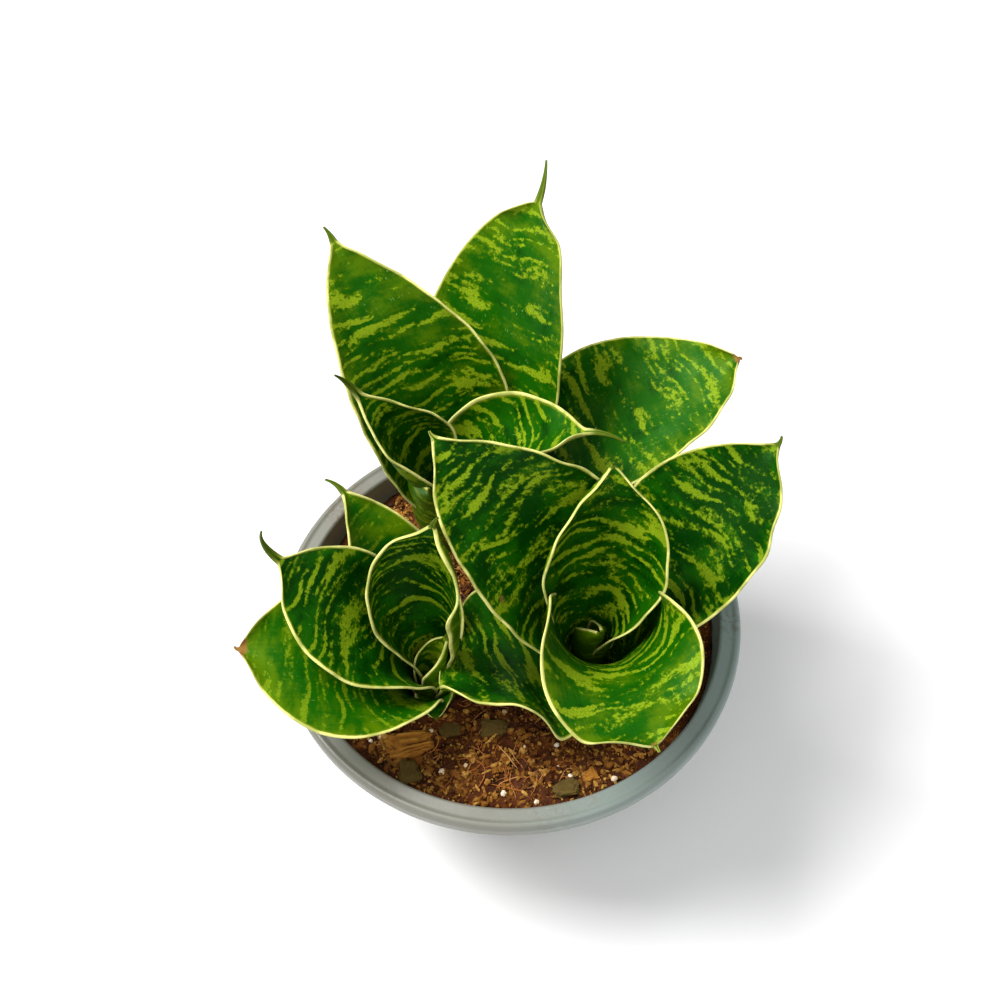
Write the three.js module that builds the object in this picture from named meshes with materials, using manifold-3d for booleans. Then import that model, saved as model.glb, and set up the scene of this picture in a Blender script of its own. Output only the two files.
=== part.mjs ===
// A dwarf bird's-nest snake plant: three rosettes of leathery leaves on one
// rhizome, growing in a coarse potting mix in a low plastic pot with a broad rim.
// Millimetres, +Z up. The origin is the centre of the pot's flat base, on the
// surface it stands on. The viewer's side of the plant is -Y.
import * as THREE from "three";
import { mergeVertices } from "three/addons/utils/BufferGeometryUtils.js";
import Module from "manifold-3d";

const wasm = await Module();
wasm.setup();

// ---- Driving dimensions -----------------------------------------------------
const RIM_RADIUS = 75; // the widest circle of the pot
const POT_HEIGHT = 71; // floor to the top of the rim
const RIM_BAND = 7; // width of the flat band on top of the rim
const RIM_DROP = 6; // how far the rim's skirt hangs down
const BASE_RADIUS = 45;
const WALL = 2;
const FLOOR = 2.5; // thickness of the pot's floor
const FOOT_BEVEL = 1.5;
const SHOULDER_DROP = 4; // how far under the skirt the wall starts to turn outwards
const RIM_PLATE = 3; // thickness of the rim's flat band
const SKIRT_EDGE = 1.2; // thickness of the skirt's lower edge
const BEAD = 1.6; // width of the bead round the rim
const GROOVE = 0.6; // depth of the groove inside the bead
const DRAIN_HOLES = 5;
const DRAIN_RADIUS = 3;
const DRAIN_CIRCLE = 28;
const MIX_TOP = 61.5; // level of the potting mix near the wall
const MIX_CROWN = 1; // how much higher it stands in the middle
const GAP = 0.3; // clearance between pieces that touch
const LEAF_THICKNESS = 2; // low in the blade
const SHEATH_THICKNESS = 1.1;
const MARGIN_THICKNESS = 1;
const TIP_SHARE = 0.75; // thickness at the tip as a share of that low in the blade
const THICK_FROM = 0.35; // how far along the leaf its full thickness is reached
const FULL_WIDTH = 30; // leaves narrower than this are thinner in proportion
const SHEATH_OPENING = 1.4; // over 1 keeps the sheath narrow for longer
const POINT_WIDTH = 2; // of the horny point where it leaves the blade
const POINT_END_WIDTH = 0.8;
const POINT_THICKNESS = 1.2;
const POINT_END_THICKNESS = 0.7;
const LEAF_ROWS = 11; // steps along a blade
const LEAF_COLUMNS = 6; // steps across a blade
const POINT_ROWS = 2; // steps along the horny point at a leaf's end
const AROUND = 48; // facets around the pot
const CROWN_FACETS = 16;
const DRILL_FACETS = 16;

// ---- Materials --------------------------------------------------------------
const finish = (color, roughness) =>
  new THREE.MeshStandardMaterial({ color, roughness, metalness: 0 });
const potPlastic = finish(0x94998a, 0.5);
const mixBrown = finish(0x6b3d1a, 0.95);
const rhizomeCream = finish(0xb9a468, 0.7);
const leafGreen = finish(0x2f6b16, 0.4);
const barkBrown = finish(0x8a5a2a, 0.9);
const perliteWhite = finish(0xe8d2b0, 0.9);

// ---- Helpers ----------------------------------------------------------------
const radians = THREE.MathUtils.degToRad;
const lerp = THREE.MathUtils.lerp;
const smooth = (x) => THREE.MathUtils.smoothstep(x, 0, 1);

/** Turns a closed three.js geometry into a manifold-3d solid. */
function toSolid(geometry) {
  const bare = geometry.index ? geometry.toNonIndexed() : geometry.clone();
  bare.deleteAttribute("normal");
  bare.deleteAttribute("uv");
  const merged = mergeVertices(bare, 1e-4);
  return new wasm.Manifold(
    new wasm.Mesh({
      numProp: 3,
      vertProperties: merged.attributes.position.array,
      triVerts: new Uint32Array(merged.index.array),
    }),
  );
}

/** Turns a manifold-3d solid back into a three.js geometry. */
function toGeometry(solid) {
  const mesh = solid.getMesh();
  const geometry = new THREE.BufferGeometry();
  geometry.setAttribute("position", new THREE.BufferAttribute(mesh.vertProperties, 3));
  geometry.setIndex(new THREE.BufferAttribute(mesh.triVerts, 1));
  geometry.computeVertexNormals();
  return geometry;
}

/** The largest separate body of a solid, without the slivers that a cut leaves. */
function largestBody(solid) {
  const bodies = solid.decompose();
  bodies.sort((a, b) => b.volume() - a.volume());
  return bodies[0];
}

/** A solid turned from [radius, height] points, about the vertical through a place. */
function turned(profile, place = [0, 0], facets = AROUND) {
  const points = profile.map(([r, z]) => new THREE.Vector2(r, z));
  const geometry = new THREE.LatheGeometry(points, facets);
  geometry.rotateX(Math.PI / 2);
  geometry.translate(place[0], place[1], 0);
  return toSolid(geometry);
}

/** A round bar along a curve through the points. */
function bar(points, radius, facets = 8, steps = 6) {
  const curve = new THREE.CatmullRomCurve3(points.map((p) => new THREE.Vector3(...p)));
  const section = new THREE.Shape();
  section.absarc(0, 0, radius, 0, 2 * Math.PI);
  const geometry = new THREE.ExtrudeGeometry(section, {
    steps,
    curveSegments: facets / 2,
    extrudePath: curve,
  });
  return toSolid(geometry);
}

const root = new THREE.Group();

/** Adds a solid to the plant as a named piece. */
function addPiece(name, solid, material) {
  const mesh = new THREE.Mesh(toGeometry(solid), material);
  mesh.name = name;
  root.add(mesh);
}

// ---- Pot --------------------------------------------------------------------
// A tapered tub whose broad flat rim overhangs the wall and turns down in a short
// skirt. A low bead runs round the outer edge of the rim.
const rimInner = RIM_RADIUS - RIM_BAND;
const rimTop = POT_HEIGHT;
const bodyTop = rimTop - RIM_DROP;
const shoulder = bodyTop - SHOULDER_DROP;
const wallInnerBase = BASE_RADIUS - WALL;
const wallInnerTop = rimInner - WALL / 2;
const potProfile = [
  [0, 0],
  [BASE_RADIUS - FOOT_BEVEL, 0],
  [BASE_RADIUS, FOOT_BEVEL],
  [wallInnerTop + WALL, shoulder],
  [rimInner + WALL, rimTop - RIM_PLATE],
  [RIM_RADIUS - WALL, rimTop - RIM_PLATE],
  [RIM_RADIUS - SKIRT_EDGE - BEAD / 4, rimTop - RIM_DROP],
  [RIM_RADIUS - BEAD / 4, rimTop - RIM_DROP],
  [RIM_RADIUS, rimTop - BEAD],
  [RIM_RADIUS - BEAD / 2, rimTop - BEAD / 4],
  [RIM_RADIUS - BEAD, rimTop],
  [RIM_RADIUS - 1.75 * BEAD, rimTop - GROOVE],
  [rimInner + GROOVE, rimTop - GROOVE / 3],
  [rimInner, rimTop - BEAD / 2],
  [wallInnerTop, shoulder],
  [wallInnerBase, FLOOR],
  [0, FLOOR],
];

function buildPot() {
  let pot = turned(potProfile);
  for (let i = 0; i < DRAIN_HOLES; i += 1) {
    const angle = (2 * Math.PI * i) / DRAIN_HOLES;
    const place = [DRAIN_CIRCLE * Math.cos(angle), DRAIN_CIRCLE * Math.sin(angle)];
    const drill = [[0, -FLOOR], [DRAIN_RADIUS, -FLOOR], [DRAIN_RADIUS, 2 * FLOOR], [0, 2 * FLOOR]];
    pot = pot.subtract(turned(drill, place, DRILL_FACETS));
  }
  return pot;
}

// ---- Rhizome ----------------------------------------------------------------
// The creeping stem: one upright crown under each rosette, joined below the mix.
const BASE_LEVEL = MIX_TOP + 1.5; // where the leaf bases start
const MAIN_CROWN = [25, -20];
const BACK_CROWN = [-20, 36];
const SIDE_CROWN = [-24, -26];
const CROWNS = [
  { place: MAIN_CROWN, radius: 12 },
  { place: BACK_CROWN, radius: 11.5 },
  { place: SIDE_CROWN, radius: 9.5 },
];
const RHIZOME_LEVEL = 44; // height of the runs between the crowns
const RHIZOME_RADIUS = 6;
const RHIZOME_SAG = 5; // how far the runs dip halfway
const STUB_FOOT = 4; // how far a crown reaches below the runs
const STUB_BULGE = 6; // how far above them it is nearly full width
const STUB_COLLAR = 3; // height of its straight top

function buildRhizome(grow = 0) {
  const top = BASE_LEVEL - GAP;
  let rhizome = null;
  for (const { place, radius } of CROWNS) {
    const r = radius + grow;
    const stub = turned(
      [
        [0, RHIZOME_LEVEL - STUB_FOOT - grow],
        [r * 0.5, RHIZOME_LEVEL - STUB_FOOT - grow],
        [r * 0.85, RHIZOME_LEVEL + STUB_BULGE],
        [r, top - STUB_COLLAR],
        [r, top + grow],
        [0, top + grow],
      ],
      place,
      CROWN_FACETS,
    );
    rhizome = rhizome ? rhizome.add(stub) : stub;
  }
  const at = ([x, y], z) => [x, y, z];
  const runs = [
    [at(BACK_CROWN, RHIZOME_LEVEL), [-12, 5, RHIZOME_LEVEL - RHIZOME_SAG], at(SIDE_CROWN, RHIZOME_LEVEL)],
    [at(SIDE_CROWN, RHIZOME_LEVEL), [0, -26, RHIZOME_LEVEL - RHIZOME_SAG], at(MAIN_CROWN, RHIZOME_LEVEL)],
  ];
  for (const run of runs) rhizome = rhizome.add(bar(run, RHIZOME_RADIUS + grow));
  return rhizome;
}

// ---- Potting mix ------------------------------------------------------------
function wallInnerAt(z) {
  const t = (z - FLOOR) / (shoulder - FLOOR);
  return lerp(wallInnerBase, wallInnerTop, t);
}

function mixHeightAt(r) {
  return MIX_TOP + MIX_CROWN * (1 - smooth(r / rimInner));
}

function buildMix(grow = 0) {
  const profile = [
    [0, FLOOR + GAP],
    [wallInnerBase - 2 * GAP, FLOOR + GAP],
    [wallInnerAt(MIX_TOP) - 2 * GAP, MIX_TOP + grow],
  ];
  for (const r of [50, 36, 20, 0]) profile.push([r, mixHeightAt(r) + grow]);
  return turned(profile);
}

// ---- Leaves -----------------------------------------------------------------
// A leaf is a thick strip that follows a curved midrib. Its base wraps round the
// crown as a sheath, its blade opens into a shallow or deep trough, and it ends in
// a short horny point.
const LEAF_DEFAULTS = {
  late: 1, // over 1 keeps the bend near the tip
  veer: 0, // degrees that the midrib turns sideways
  roll: 0, // degrees that the blade leans to one side
  twist: 0, // degrees that it turns on from there to the tip
  widest: 0.55, // where along the blade it is widest
  taper: 0.9, // under 1 is a rounder end
  sway: 0, // sideways swing of the blade's middle, in half widths
  point: 6, // length of the horny point
  hook: 0, // degrees that the point curls inwards
  hookSide: 0, // degrees that it curls sideways
  wave: 0, // height of the ripple on one margin
  waves: 1.8,
  waveStart: 0.5,
  waveSide: 1,
};

/** Where a midrib runs: places and tangents, lean and heading, at evenly spaced steps. */
function midrib(leaf, rows) {
  const fine = 120;
  const step = leaf.length / fine;
  const heading = radians(leaf.heading);
  const place = new THREE.Vector3(
    leaf.crown[0] + leaf.ring * Math.cos(heading),
    leaf.crown[1] + leaf.ring * Math.sin(heading),
    BASE_LEVEL,
  );
  const tangentAt = (s) => {
    const lean = radians(lerp(leaf.lean[0], leaf.lean[1], s ** leaf.late));
    const turn = radians(leaf.heading + leaf.veer * s);
    return { lean, turn };
  };
  const direction = ({ lean, turn }) =>
    new THREE.Vector3(
      Math.sin(lean) * Math.cos(turn),
      Math.sin(lean) * Math.sin(turn),
      Math.cos(lean),
    );
  const stations = [];
  let next = 0;
  for (let i = 0; i <= fine; i += 1) {
    const s = i / fine;
    if (s >= next / rows - 1e-9) {
      stations.push({ s, place: place.clone(), ...tangentAt(s) });
      next += 1;
    }
    place.addScaledVector(direction(tangentAt(s + 0.5 / fine)), step);
  }
  return stations;
}

/** The blade's own axes at a station: along it, across it and out of its upper face. */
function bladeAxes({ lean, turn, s }, leaf) {
  const along = new THREE.Vector3(
    Math.sin(lean) * Math.cos(turn),
    Math.sin(lean) * Math.sin(turn),
    Math.cos(lean),
  );
  const face = new THREE.Vector3(
    -Math.cos(lean) * Math.cos(turn),
    -Math.cos(lean) * Math.sin(turn),
    Math.sin(lean),
  );
  const across = new THREE.Vector3(Math.sin(turn), -Math.cos(turn), 0);
  const roll = radians(leaf.roll + leaf.twist * smooth(s)) * smooth(s / 0.3);
  const turnedFace = face.clone().multiplyScalar(Math.cos(roll));
  turnedFace.addScaledVector(across, Math.sin(roll));
  across.multiplyScalar(Math.cos(roll)).addScaledVector(face, -Math.sin(roll));
  return { along, across, face: turnedFace };
}

/** Half the width of the blade at s, measured around its trough. */
function halfWidth(s, leaf) {
  const sheath = leaf.ring * radians(leaf.clasp);
  const half = leaf.width / 2;
  if (s < leaf.widest) {
    const rise = Math.sin((Math.PI / 2) * (s / leaf.widest)) ** SHEATH_OPENING;
    return sheath + (half - sheath) * rise;
  }
  const fall = ((s - leaf.widest) / (1 - leaf.widest)) ** 2;
  return Math.max(half * Math.max(1 - fall, 0) ** leaf.taper, POINT_WIDTH / 2);
}

/** Half the angle that the cross-section bends through at s, in radians. */
function troughAngle(s, leaf) {
  const [cup, cupTip] = leaf.cup.map(radians);
  const clasp = radians(leaf.clasp);
  if (s < leaf.widest) return lerp(clasp, cup, smooth(s / leaf.widest));
  return lerp(cup, cupTip, smooth((s - leaf.widest) / (1 - leaf.widest)));
}

/** Thickness of the leaf: thin in the sheath, thick low in the blade, thin at the end. */
function thickness(s, v, leaf) {
  const blade = lerp(SHEATH_THICKNESS, LEAF_THICKNESS, smooth(s / THICK_FROM));
  const heart = blade * lerp(1, TIP_SHARE, smooth(s));
  const margin = Math.min(MARGIN_THICKNESS, heart);
  return lerp(heart, margin, v * v) * Math.min(1, leaf.width / FULL_WIDTH);
}

/** Rows of points on both faces of a leaf, made fatter by grow where it must clear another. */
function leafRows(leaf, grow) {
  const rows = [];
  const columns = LEAF_COLUMNS;
  const stations = midrib(leaf, LEAF_ROWS);
  for (const station of stations) {
    const { s, place } = station;
    const { across, face } = bladeAxes(station, leaf);
    const half = halfWidth(s, leaf) + grow;
    const bend = Math.max(troughAngle(s, leaf), 0.01);
    const sway = leaf.sway * half * Math.sin(Math.PI * s);
    const row = [];
    for (let j = 0; j <= columns; j += 1) {
      const v = (2 * j) / columns - 1;
      const ripple =
        leaf.wave *
        v * v *
        Math.max(v * leaf.waveSide, 0) *
        Math.sin(2 * Math.PI * leaf.waves * s + leaf.waveStart) *
        Math.sin(Math.PI * s);
      const x = (half * Math.sin(bend * v)) / bend + sway;
      const z = (half * (1 - Math.cos(bend * v))) / bend + ripple;
      const middle = place.clone().addScaledVector(across, x).addScaledVector(face, z);
      const normal = face.clone().multiplyScalar(Math.cos(bend * v));
      normal.addScaledVector(across, -Math.sin(bend * v));
      const depth = thickness(s, v, leaf) / 2 + grow;
      row.push([middle.clone().addScaledVector(normal, depth), middle.addScaledVector(normal, -depth)]);
    }
    rows.push(row);
  }
  return [...rows, ...pointRows(stations.at(-1), leaf, grow)];
}

/** Rows for the horny point, which goes on from the last station and may curl. */
function pointRows(station, leaf, grow) {
  const rows = [];
  const axes = bladeAxes(station, leaf);
  const place = station.place.clone();
  const hook = radians(leaf.hook) / POINT_ROWS;
  const hookSide = radians(leaf.hookSide) / POINT_ROWS;
  for (let i = 1; i <= POINT_ROWS; i += 1) {
    axes.along.applyAxisAngle(axes.across, hook);
    axes.face.applyAxisAngle(axes.across, hook);
    axes.along.applyAxisAngle(axes.face, -hookSide);
    axes.across.applyAxisAngle(axes.face, -hookSide);
    place.addScaledVector(axes.along, leaf.point / POINT_ROWS);
    const half = lerp(POINT_WIDTH, POINT_END_WIDTH, i / POINT_ROWS) / 2 + grow;
    const depth = lerp(POINT_THICKNESS, POINT_END_THICKNESS, i / POINT_ROWS) / 2 + grow;
    const row = [];
    for (let j = 0; j <= LEAF_COLUMNS; j += 1) {
      const v = (2 * j) / LEAF_COLUMNS - 1;
      const middle = place.clone().addScaledVector(axes.across, half * v);
      row.push([
        middle.clone().addScaledVector(axes.face, depth),
        middle.addScaledVector(axes.face, -depth),
      ]);
    }
    rows.push(row);
  }
  return rows;
}

/** One leaf as a closed solid. */
function leafSolid(leaf, grow = 0) {
  const rows = leafRows(leaf, grow);
  const last = rows.length - 1;
  const columns = LEAF_COLUMNS;
  const position = [];
  for (const row of rows) for (const [upper, lower] of row) position.push(...upper, ...lower);
  const at = (i, j, under) => (i * (columns + 1) + j) * 2 + under;
  const index = [];
  const quad = (a, b, c, d) => index.push(a, b, c, a, c, d);
  for (let i = 0; i < last; i += 1) {
    for (let j = 0; j < columns; j += 1) {
      quad(at(i, j, 0), at(i, j + 1, 0), at(i + 1, j + 1, 0), at(i + 1, j, 0));
      quad(at(i, j, 1), at(i + 1, j, 1), at(i + 1, j + 1, 1), at(i, j + 1, 1));
    }
    quad(at(i, 0, 0), at(i + 1, 0, 0), at(i + 1, 0, 1), at(i, 0, 1));
    quad(at(i, columns, 0), at(i, columns, 1), at(i + 1, columns, 1), at(i + 1, columns, 0));
  }
  for (let j = 0; j < columns; j += 1) {
    quad(at(0, j, 0), at(0, j, 1), at(0, j + 1, 1), at(0, j + 1, 0));
    quad(at(last, j, 0), at(last, j + 1, 0), at(last, j + 1, 1), at(last, j, 1));
  }
  const geometry = new THREE.BufferGeometry();
  geometry.setAttribute("position", new THREE.Float32BufferAttribute(position, 3));
  geometry.setIndex(index);
  return toSolid(geometry);
}

// Each leaf from the heart of its rosette outwards. Lengths in mm, angles in degrees;
// heading 0 points along +X and 90 along +Y. lean and cup are given at the base or the
// widest place, and at the tip.
const LEAVES = [
  {
    name: "main_heart_leaf", crown: MAIN_CROWN,
    ring: 2, clasp: 165, heading: -60, lean: [0, 8], length: 34, width: 24, cup: [150, 120],
    widest: 0.6, taper: 0.9, point: 1.5,
  },
  {
    name: "main_funnel_leaf", crown: MAIN_CROWN,
    ring: 3.6, clasp: 165, heading: 81, lean: [10, 24], length: 81, width: 51, cup: [84, 64],
    widest: 0.66, taper: 1, veer: -1, roll: -9, twist: 27, point: 1, hook: 45, hookSide: -25,
  },
  {
    name: "main_front_leaf", crown: MAIN_CROWN,
    ring: 5.4, clasp: 140, heading: -91, lean: [0, 93], length: 77, width: 64, cup: [107, 2],
    widest: 0.5, taper: 0.6, veer: 29, roll: -16, twist: 16, sway: -0.05, late: 1.2, point: 2,
  },
  {
    name: "main_left_leaf", crown: MAIN_CROWN,
    ring: 7.2, clasp: 120, heading: 148, lean: [8, 55], length: 100, width: 55, cup: [44, 36],
    widest: 0.54, taper: 1.1, veer: -5, roll: -13, twist: -19, sway: 0.25, point: 1.5, hookSide: 25,
  },
  {
    name: "main_right_leaf", crown: MAIN_CROWN,
    ring: 9, clasp: 105, heading: 35, lean: [30, 49], length: 92, width: 50, cup: [32, 22],
    widest: 0.58, taper: 0.95, veer: 2, roll: -3, twist: 8, sway: -0.05, point: 2.5, hook: 10,
    hookSide: -35,
  },
  {
    name: "main_low_leaf", crown: MAIN_CROWN,
    ring: 10.5, clasp: 95, heading: 203, lean: [28, 102], length: 47, width: 60, cup: [14, 29],
    widest: 0.38, taper: 0.7, veer: -11, roll: -2, twist: 29, sway: 0.2, late: 1.2, point: 1,
    hook: -25, hookSide: -15, wave: 3, waves: 1.8, waveStart: 0.5, waveSide: -1,
  },
  {
    name: "back_cup_leaf", crown: BACK_CROWN,
    ring: 3.6, clasp: 160, heading: 183, lean: [7, 29], length: 77, width: 40, cup: [118, 48],
    widest: 0.48, taper: 1.25, veer: -14, roll: -6, twist: -26, sway: 0.1, point: 11, hook: 20,
    hookSide: -20,
  },
  {
    name: "back_arched_leaf", crown: BACK_CROWN,
    ring: 5.2, clasp: 145, heading: -3, lean: [1, 70], length: 78, width: 51, cup: [100, 40],
    widest: 0.48, taper: 1.05, veer: -7, roll: 5, twist: -12, late: 1.2, point: 12, hook: -40,
    hookSide: 10,
  },
  {
    name: "back_left_leaf", crown: BACK_CROWN,
    ring: 7, clasp: 115, heading: 131, lean: [8, 45], length: 110, width: 54, cup: [48, 27],
    widest: 0.44, taper: 1.1, veer: -4, roll: -11, twist: -11, sway: 0.3, point: 4, hookSide: -20,
  },
  {
    name: "back_tall_leaf", crown: BACK_CROWN,
    ring: 8.6, clasp: 105, heading: 64, lean: [19, 33], length: 115, width: 55, cup: [29, 22],
    widest: 0.46, taper: 0.6, veer: -7, roll: 4, twist: -12, sway: 0.05, point: 13.5, hook: -30,
    hookSide: -35,
  },
  {
    name: "back_right_leaf", crown: BACK_CROWN,
    ring: 10.2, clasp: 95, heading: 9, lean: [43, 65], length: 107, width: 56, cup: [22, 15],
    widest: 0.52, taper: 0.75, veer: 12, roll: 3, twist: 4, sway: -0.2, point: 1, hook: -80,
    hookSide: 100,
  },
  {
    name: "back_outer_leaf", crown: BACK_CROWN,
    ring: 9.4, clasp: 95, heading: 252, lean: [5, 12], length: 45, width: 38, cup: [80, 60],
    widest: 0.5, point: 3,
  },
  {
    name: "side_heart_leaf", crown: SIDE_CROWN,
    ring: 2.4, clasp: 160, heading: 40, lean: [-6, 22], length: 29, width: 24, cup: [150, 90],
    widest: 0.55, point: 4,
  },
  {
    name: "side_cup_leaf", crown: SIDE_CROWN,
    ring: 3.2, clasp: 150, heading: 85, lean: [18, 0], length: 74, width: 48, cup: [109, 54],
    widest: 0.64, taper: 0.85, veer: -10, roll: 21, twist: -34, sway: -0.15, point: 3.5,
    hook: -55, hookSide: 35,
  },
  {
    name: "side_left_leaf", crown: SIDE_CROWN,
    ring: 4.8, clasp: 120, heading: 176, lean: [9, 56], length: 75, width: 40, cup: [22, 17],
    widest: 0.6, taper: 0.85, veer: -18, roll: 20, twist: -37, sway: -0.05, point: 14, hook: 70,
    hookSide: 20,
  },
  {
    name: "side_back_leaf", crown: SIDE_CROWN,
    ring: 6.2, clasp: 105, heading: 117, lean: [15, 57], length: 71, width: 34, cup: [24, 37],
    widest: 0.42, veer: 15, roll: -2, twist: 15, sway: 0.05, point: 6.5, hook: -20, hookSide: -35,
  },
  {
    name: "side_low_leaf", crown: SIDE_CROWN,
    ring: 7.6, clasp: 100, heading: 199, lean: [9, 88], length: 70, width: 51, cup: [5, 11],
    widest: 0.54, veer: -20, roll: 17, twist: -32, point: 1.5, hook: 10, hookSide: 65,
  },
  {
    name: "side_round_leaf", crown: SIDE_CROWN,
    ring: 6, clasp: 50, heading: -85, lean: [-12, 105], length: 20, width: 12.5, cup: [40, 10],
    widest: 0.55, taper: 0.5, late: 1.4, point: 0.5,
  },
  {
    name: "side_bud_leaf", crown: SIDE_CROWN,
    ring: 6.6, clasp: 95, heading: 12, lean: [0, 5], length: 19, width: 22, cup: [95, 60],
    widest: 0.5, point: 2,
  },
];

// ---- Bark and perlite -------------------------------------------------------
const PIECES_OF_BARK = [
  { at: [-31, -43.5], size: [14, 8, 2.4], turn: 12 },
  { at: [-31, -52.5], size: [7.5, 6, 1.6], turn: 100 },
  { at: [-18.5, -38.5], size: [6, 4.5, 1.5], turn: 0 },
  { at: [17, -58.5], size: [8, 5, 1.8], turn: 15 },
  { at: [24.5, -54], size: [4.5, 3.5, 1.2], turn: 30 },
  { at: [-40, 42], size: [8, 5, 1.8], turn: 35 },
  { at: [-5, -38], size: [8, 6.5, 1.8], turn: 10 },
  { at: [10, 56], size: [9, 6, 2], turn: -15 },
];
const GRAINS_OF_PERLITE = [
  { at: [-21, -52], size: 2.7 },
  { at: [-2, -60], size: 2.4 },
  { at: [8, -63], size: 2.2 },
  { at: [32, -55], size: 2.6 },
  { at: [-52, 24], size: 2.6 },
  { at: [58, 24], size: 2.4 },
  { at: [-4, 20], size: 2.6 },
];

/** A flat chip of bark with broken ends, lying on the mix. */
function buildChip({ at, size: [length, width, depth], turn }) {
  const corners = [
    [-0.5, -0.3],
    [-0.1, -0.5],
    [0.42, -0.42],
    [0.5, 0.1],
    [0.2, 0.5],
    [-0.36, 0.42],
  ];
  const outline = new THREE.Shape(corners.map(([x, y]) => new THREE.Vector2(x * length, y * width)));
  const geometry = new THREE.ExtrudeGeometry(outline, { depth, bevelEnabled: false });
  geometry.rotateZ(radians(turn));
  geometry.translate(at[0], at[1], restingLevel(Math.hypot(...at) - length / 2));
  return toSolid(geometry);
}

/** A rough grain of perlite lying on the mix. */
function buildGrain({ at, size }) {
  const geometry = new THREE.IcosahedronGeometry(size / 2, 0);
  const level = restingLevel(Math.hypot(...at) - size / 2);
  geometry.translate(at[0], at[1], level + size / 2);
  return toSolid(geometry);
}

/** The lowest level at which a flat piece clears the mix, its near edge r from the middle. */
function restingLevel(r) {
  return mixHeightAt(Math.max(r, 0)) + GAP;
}

// ---- Assembly ---------------------------------------------------------------
// Pieces are built from the inside of the plant outwards. Each one is cut back
// where it would come nearer than GAP to a piece built before it.
const mixAbove = buildMix(GAP);
const made = [buildRhizome(GAP)];

function clearOf(solid, neighbours) {
  let clear = solid;
  for (const neighbour of neighbours) clear = clear.subtract(neighbour);
  return largestBody(clear);
}

addPiece("pot", buildPot(), potPlastic);
addPiece("rhizome", buildRhizome(), rhizomeCream);
addPiece("potting_mix", largestBody(buildMix().subtract(buildRhizome(GAP))), mixBrown);
for (const measured of LEAVES) {
  const leaf = { ...LEAF_DEFAULTS, ...measured };
  addPiece(leaf.name, clearOf(leafSolid(leaf), [mixAbove, ...made]), leafGreen);
  made.push(leafSolid(leaf, GAP));
}
PIECES_OF_BARK.forEach((chip, i) => {
  addPiece(`bark_chip_${i + 1}`, clearOf(buildChip(chip), made), barkBrown);
});
GRAINS_OF_PERLITE.forEach((grain, i) => {
  addPiece(`perlite_${i + 1}`, clearOf(buildGrain(grain), made), perliteWhite);
});

export default root;
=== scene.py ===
"""Finished look of a potted dwarf snake plant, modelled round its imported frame.

Lengths in the data classes are millimetres; meshes are made in metres. The origin is the
centre of the pot's base on the floor, +Z is up and the viewer stands on the -Y side.
"""

import logging
import math
from dataclasses import dataclass
from enum import Enum

import bpy
import numpy as np
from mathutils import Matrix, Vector


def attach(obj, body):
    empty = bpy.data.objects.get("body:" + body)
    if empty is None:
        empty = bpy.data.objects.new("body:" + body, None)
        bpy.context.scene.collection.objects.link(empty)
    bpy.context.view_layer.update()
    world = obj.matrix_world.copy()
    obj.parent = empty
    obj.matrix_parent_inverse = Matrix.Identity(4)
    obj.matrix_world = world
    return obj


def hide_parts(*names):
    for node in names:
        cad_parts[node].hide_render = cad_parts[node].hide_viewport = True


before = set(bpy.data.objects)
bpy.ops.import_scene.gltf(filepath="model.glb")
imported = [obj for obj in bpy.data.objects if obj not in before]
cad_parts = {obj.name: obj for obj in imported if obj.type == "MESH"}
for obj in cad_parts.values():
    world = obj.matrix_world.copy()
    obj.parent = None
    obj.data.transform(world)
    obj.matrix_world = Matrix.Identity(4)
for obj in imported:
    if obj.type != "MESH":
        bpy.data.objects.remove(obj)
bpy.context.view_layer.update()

MM = 0.001
WHOLE_TURN = 2 * math.pi
LOG = logging.getLogger("snake_plant")


# ---------------------------------------------------------------------------
# Small geometry helpers
# ---------------------------------------------------------------------------
def smooth(x: np.ndarray) -> np.ndarray:
    """Return the smooth step of x: 0 below 0 and 1 above 1."""
    x = np.clip(x, 0.0, 1.0)
    return x * x * (3.0 - 2.0 * x)


def lerp(a: float, b: float, t: np.ndarray) -> np.ndarray:
    """Return the value t of the way from a to b."""
    return a + (b - a) * t


def unit(v: np.ndarray) -> np.ndarray:
    """Return the vectors in v at length one."""
    return v / np.maximum(np.linalg.norm(v, axis=-1, keepdims=True), 1e-9)


class Waves:
    """A smooth, seeded field of summed sine waves, about -1 to 1."""

    SPREAD = (0.6, 1.7)
    GAIN = 1.9

    def __init__(self, seed: int, size: float, count: int = 7) -> None:
        """Choose the waves.

        Args:
            seed: Number that fixes the waves.
            size: Typical wavelength, in the units of the places asked for.
            count: How many waves are summed.
        """
        rng = np.random.default_rng(seed)
        direction = unit(rng.normal(size=(count, 3)))
        self.k = direction * (WHOLE_TURN / size) * rng.uniform(*self.SPREAD, (count, 1))
        self.phase = rng.uniform(0, WHOLE_TURN, count)

    def at(self, places: np.ndarray) -> np.ndarray:
        """Return the field's height at each place, an array whose last axis is x, y, z."""
        return np.sin(places @ self.k.T + self.phase).mean(axis=-1) * self.GAIN


def placed_object(name: str, data: bpy.types.ID) -> bpy.types.Object:
    """Put a new object with its data into the scene.

    Args:
        name: Name of the object.
        data: Its mesh, lamp or camera.

    Returns:
        The object.
    """
    made = bpy.data.objects.new(name, data)
    bpy.context.scene.collection.objects.link(made)
    return made


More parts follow.
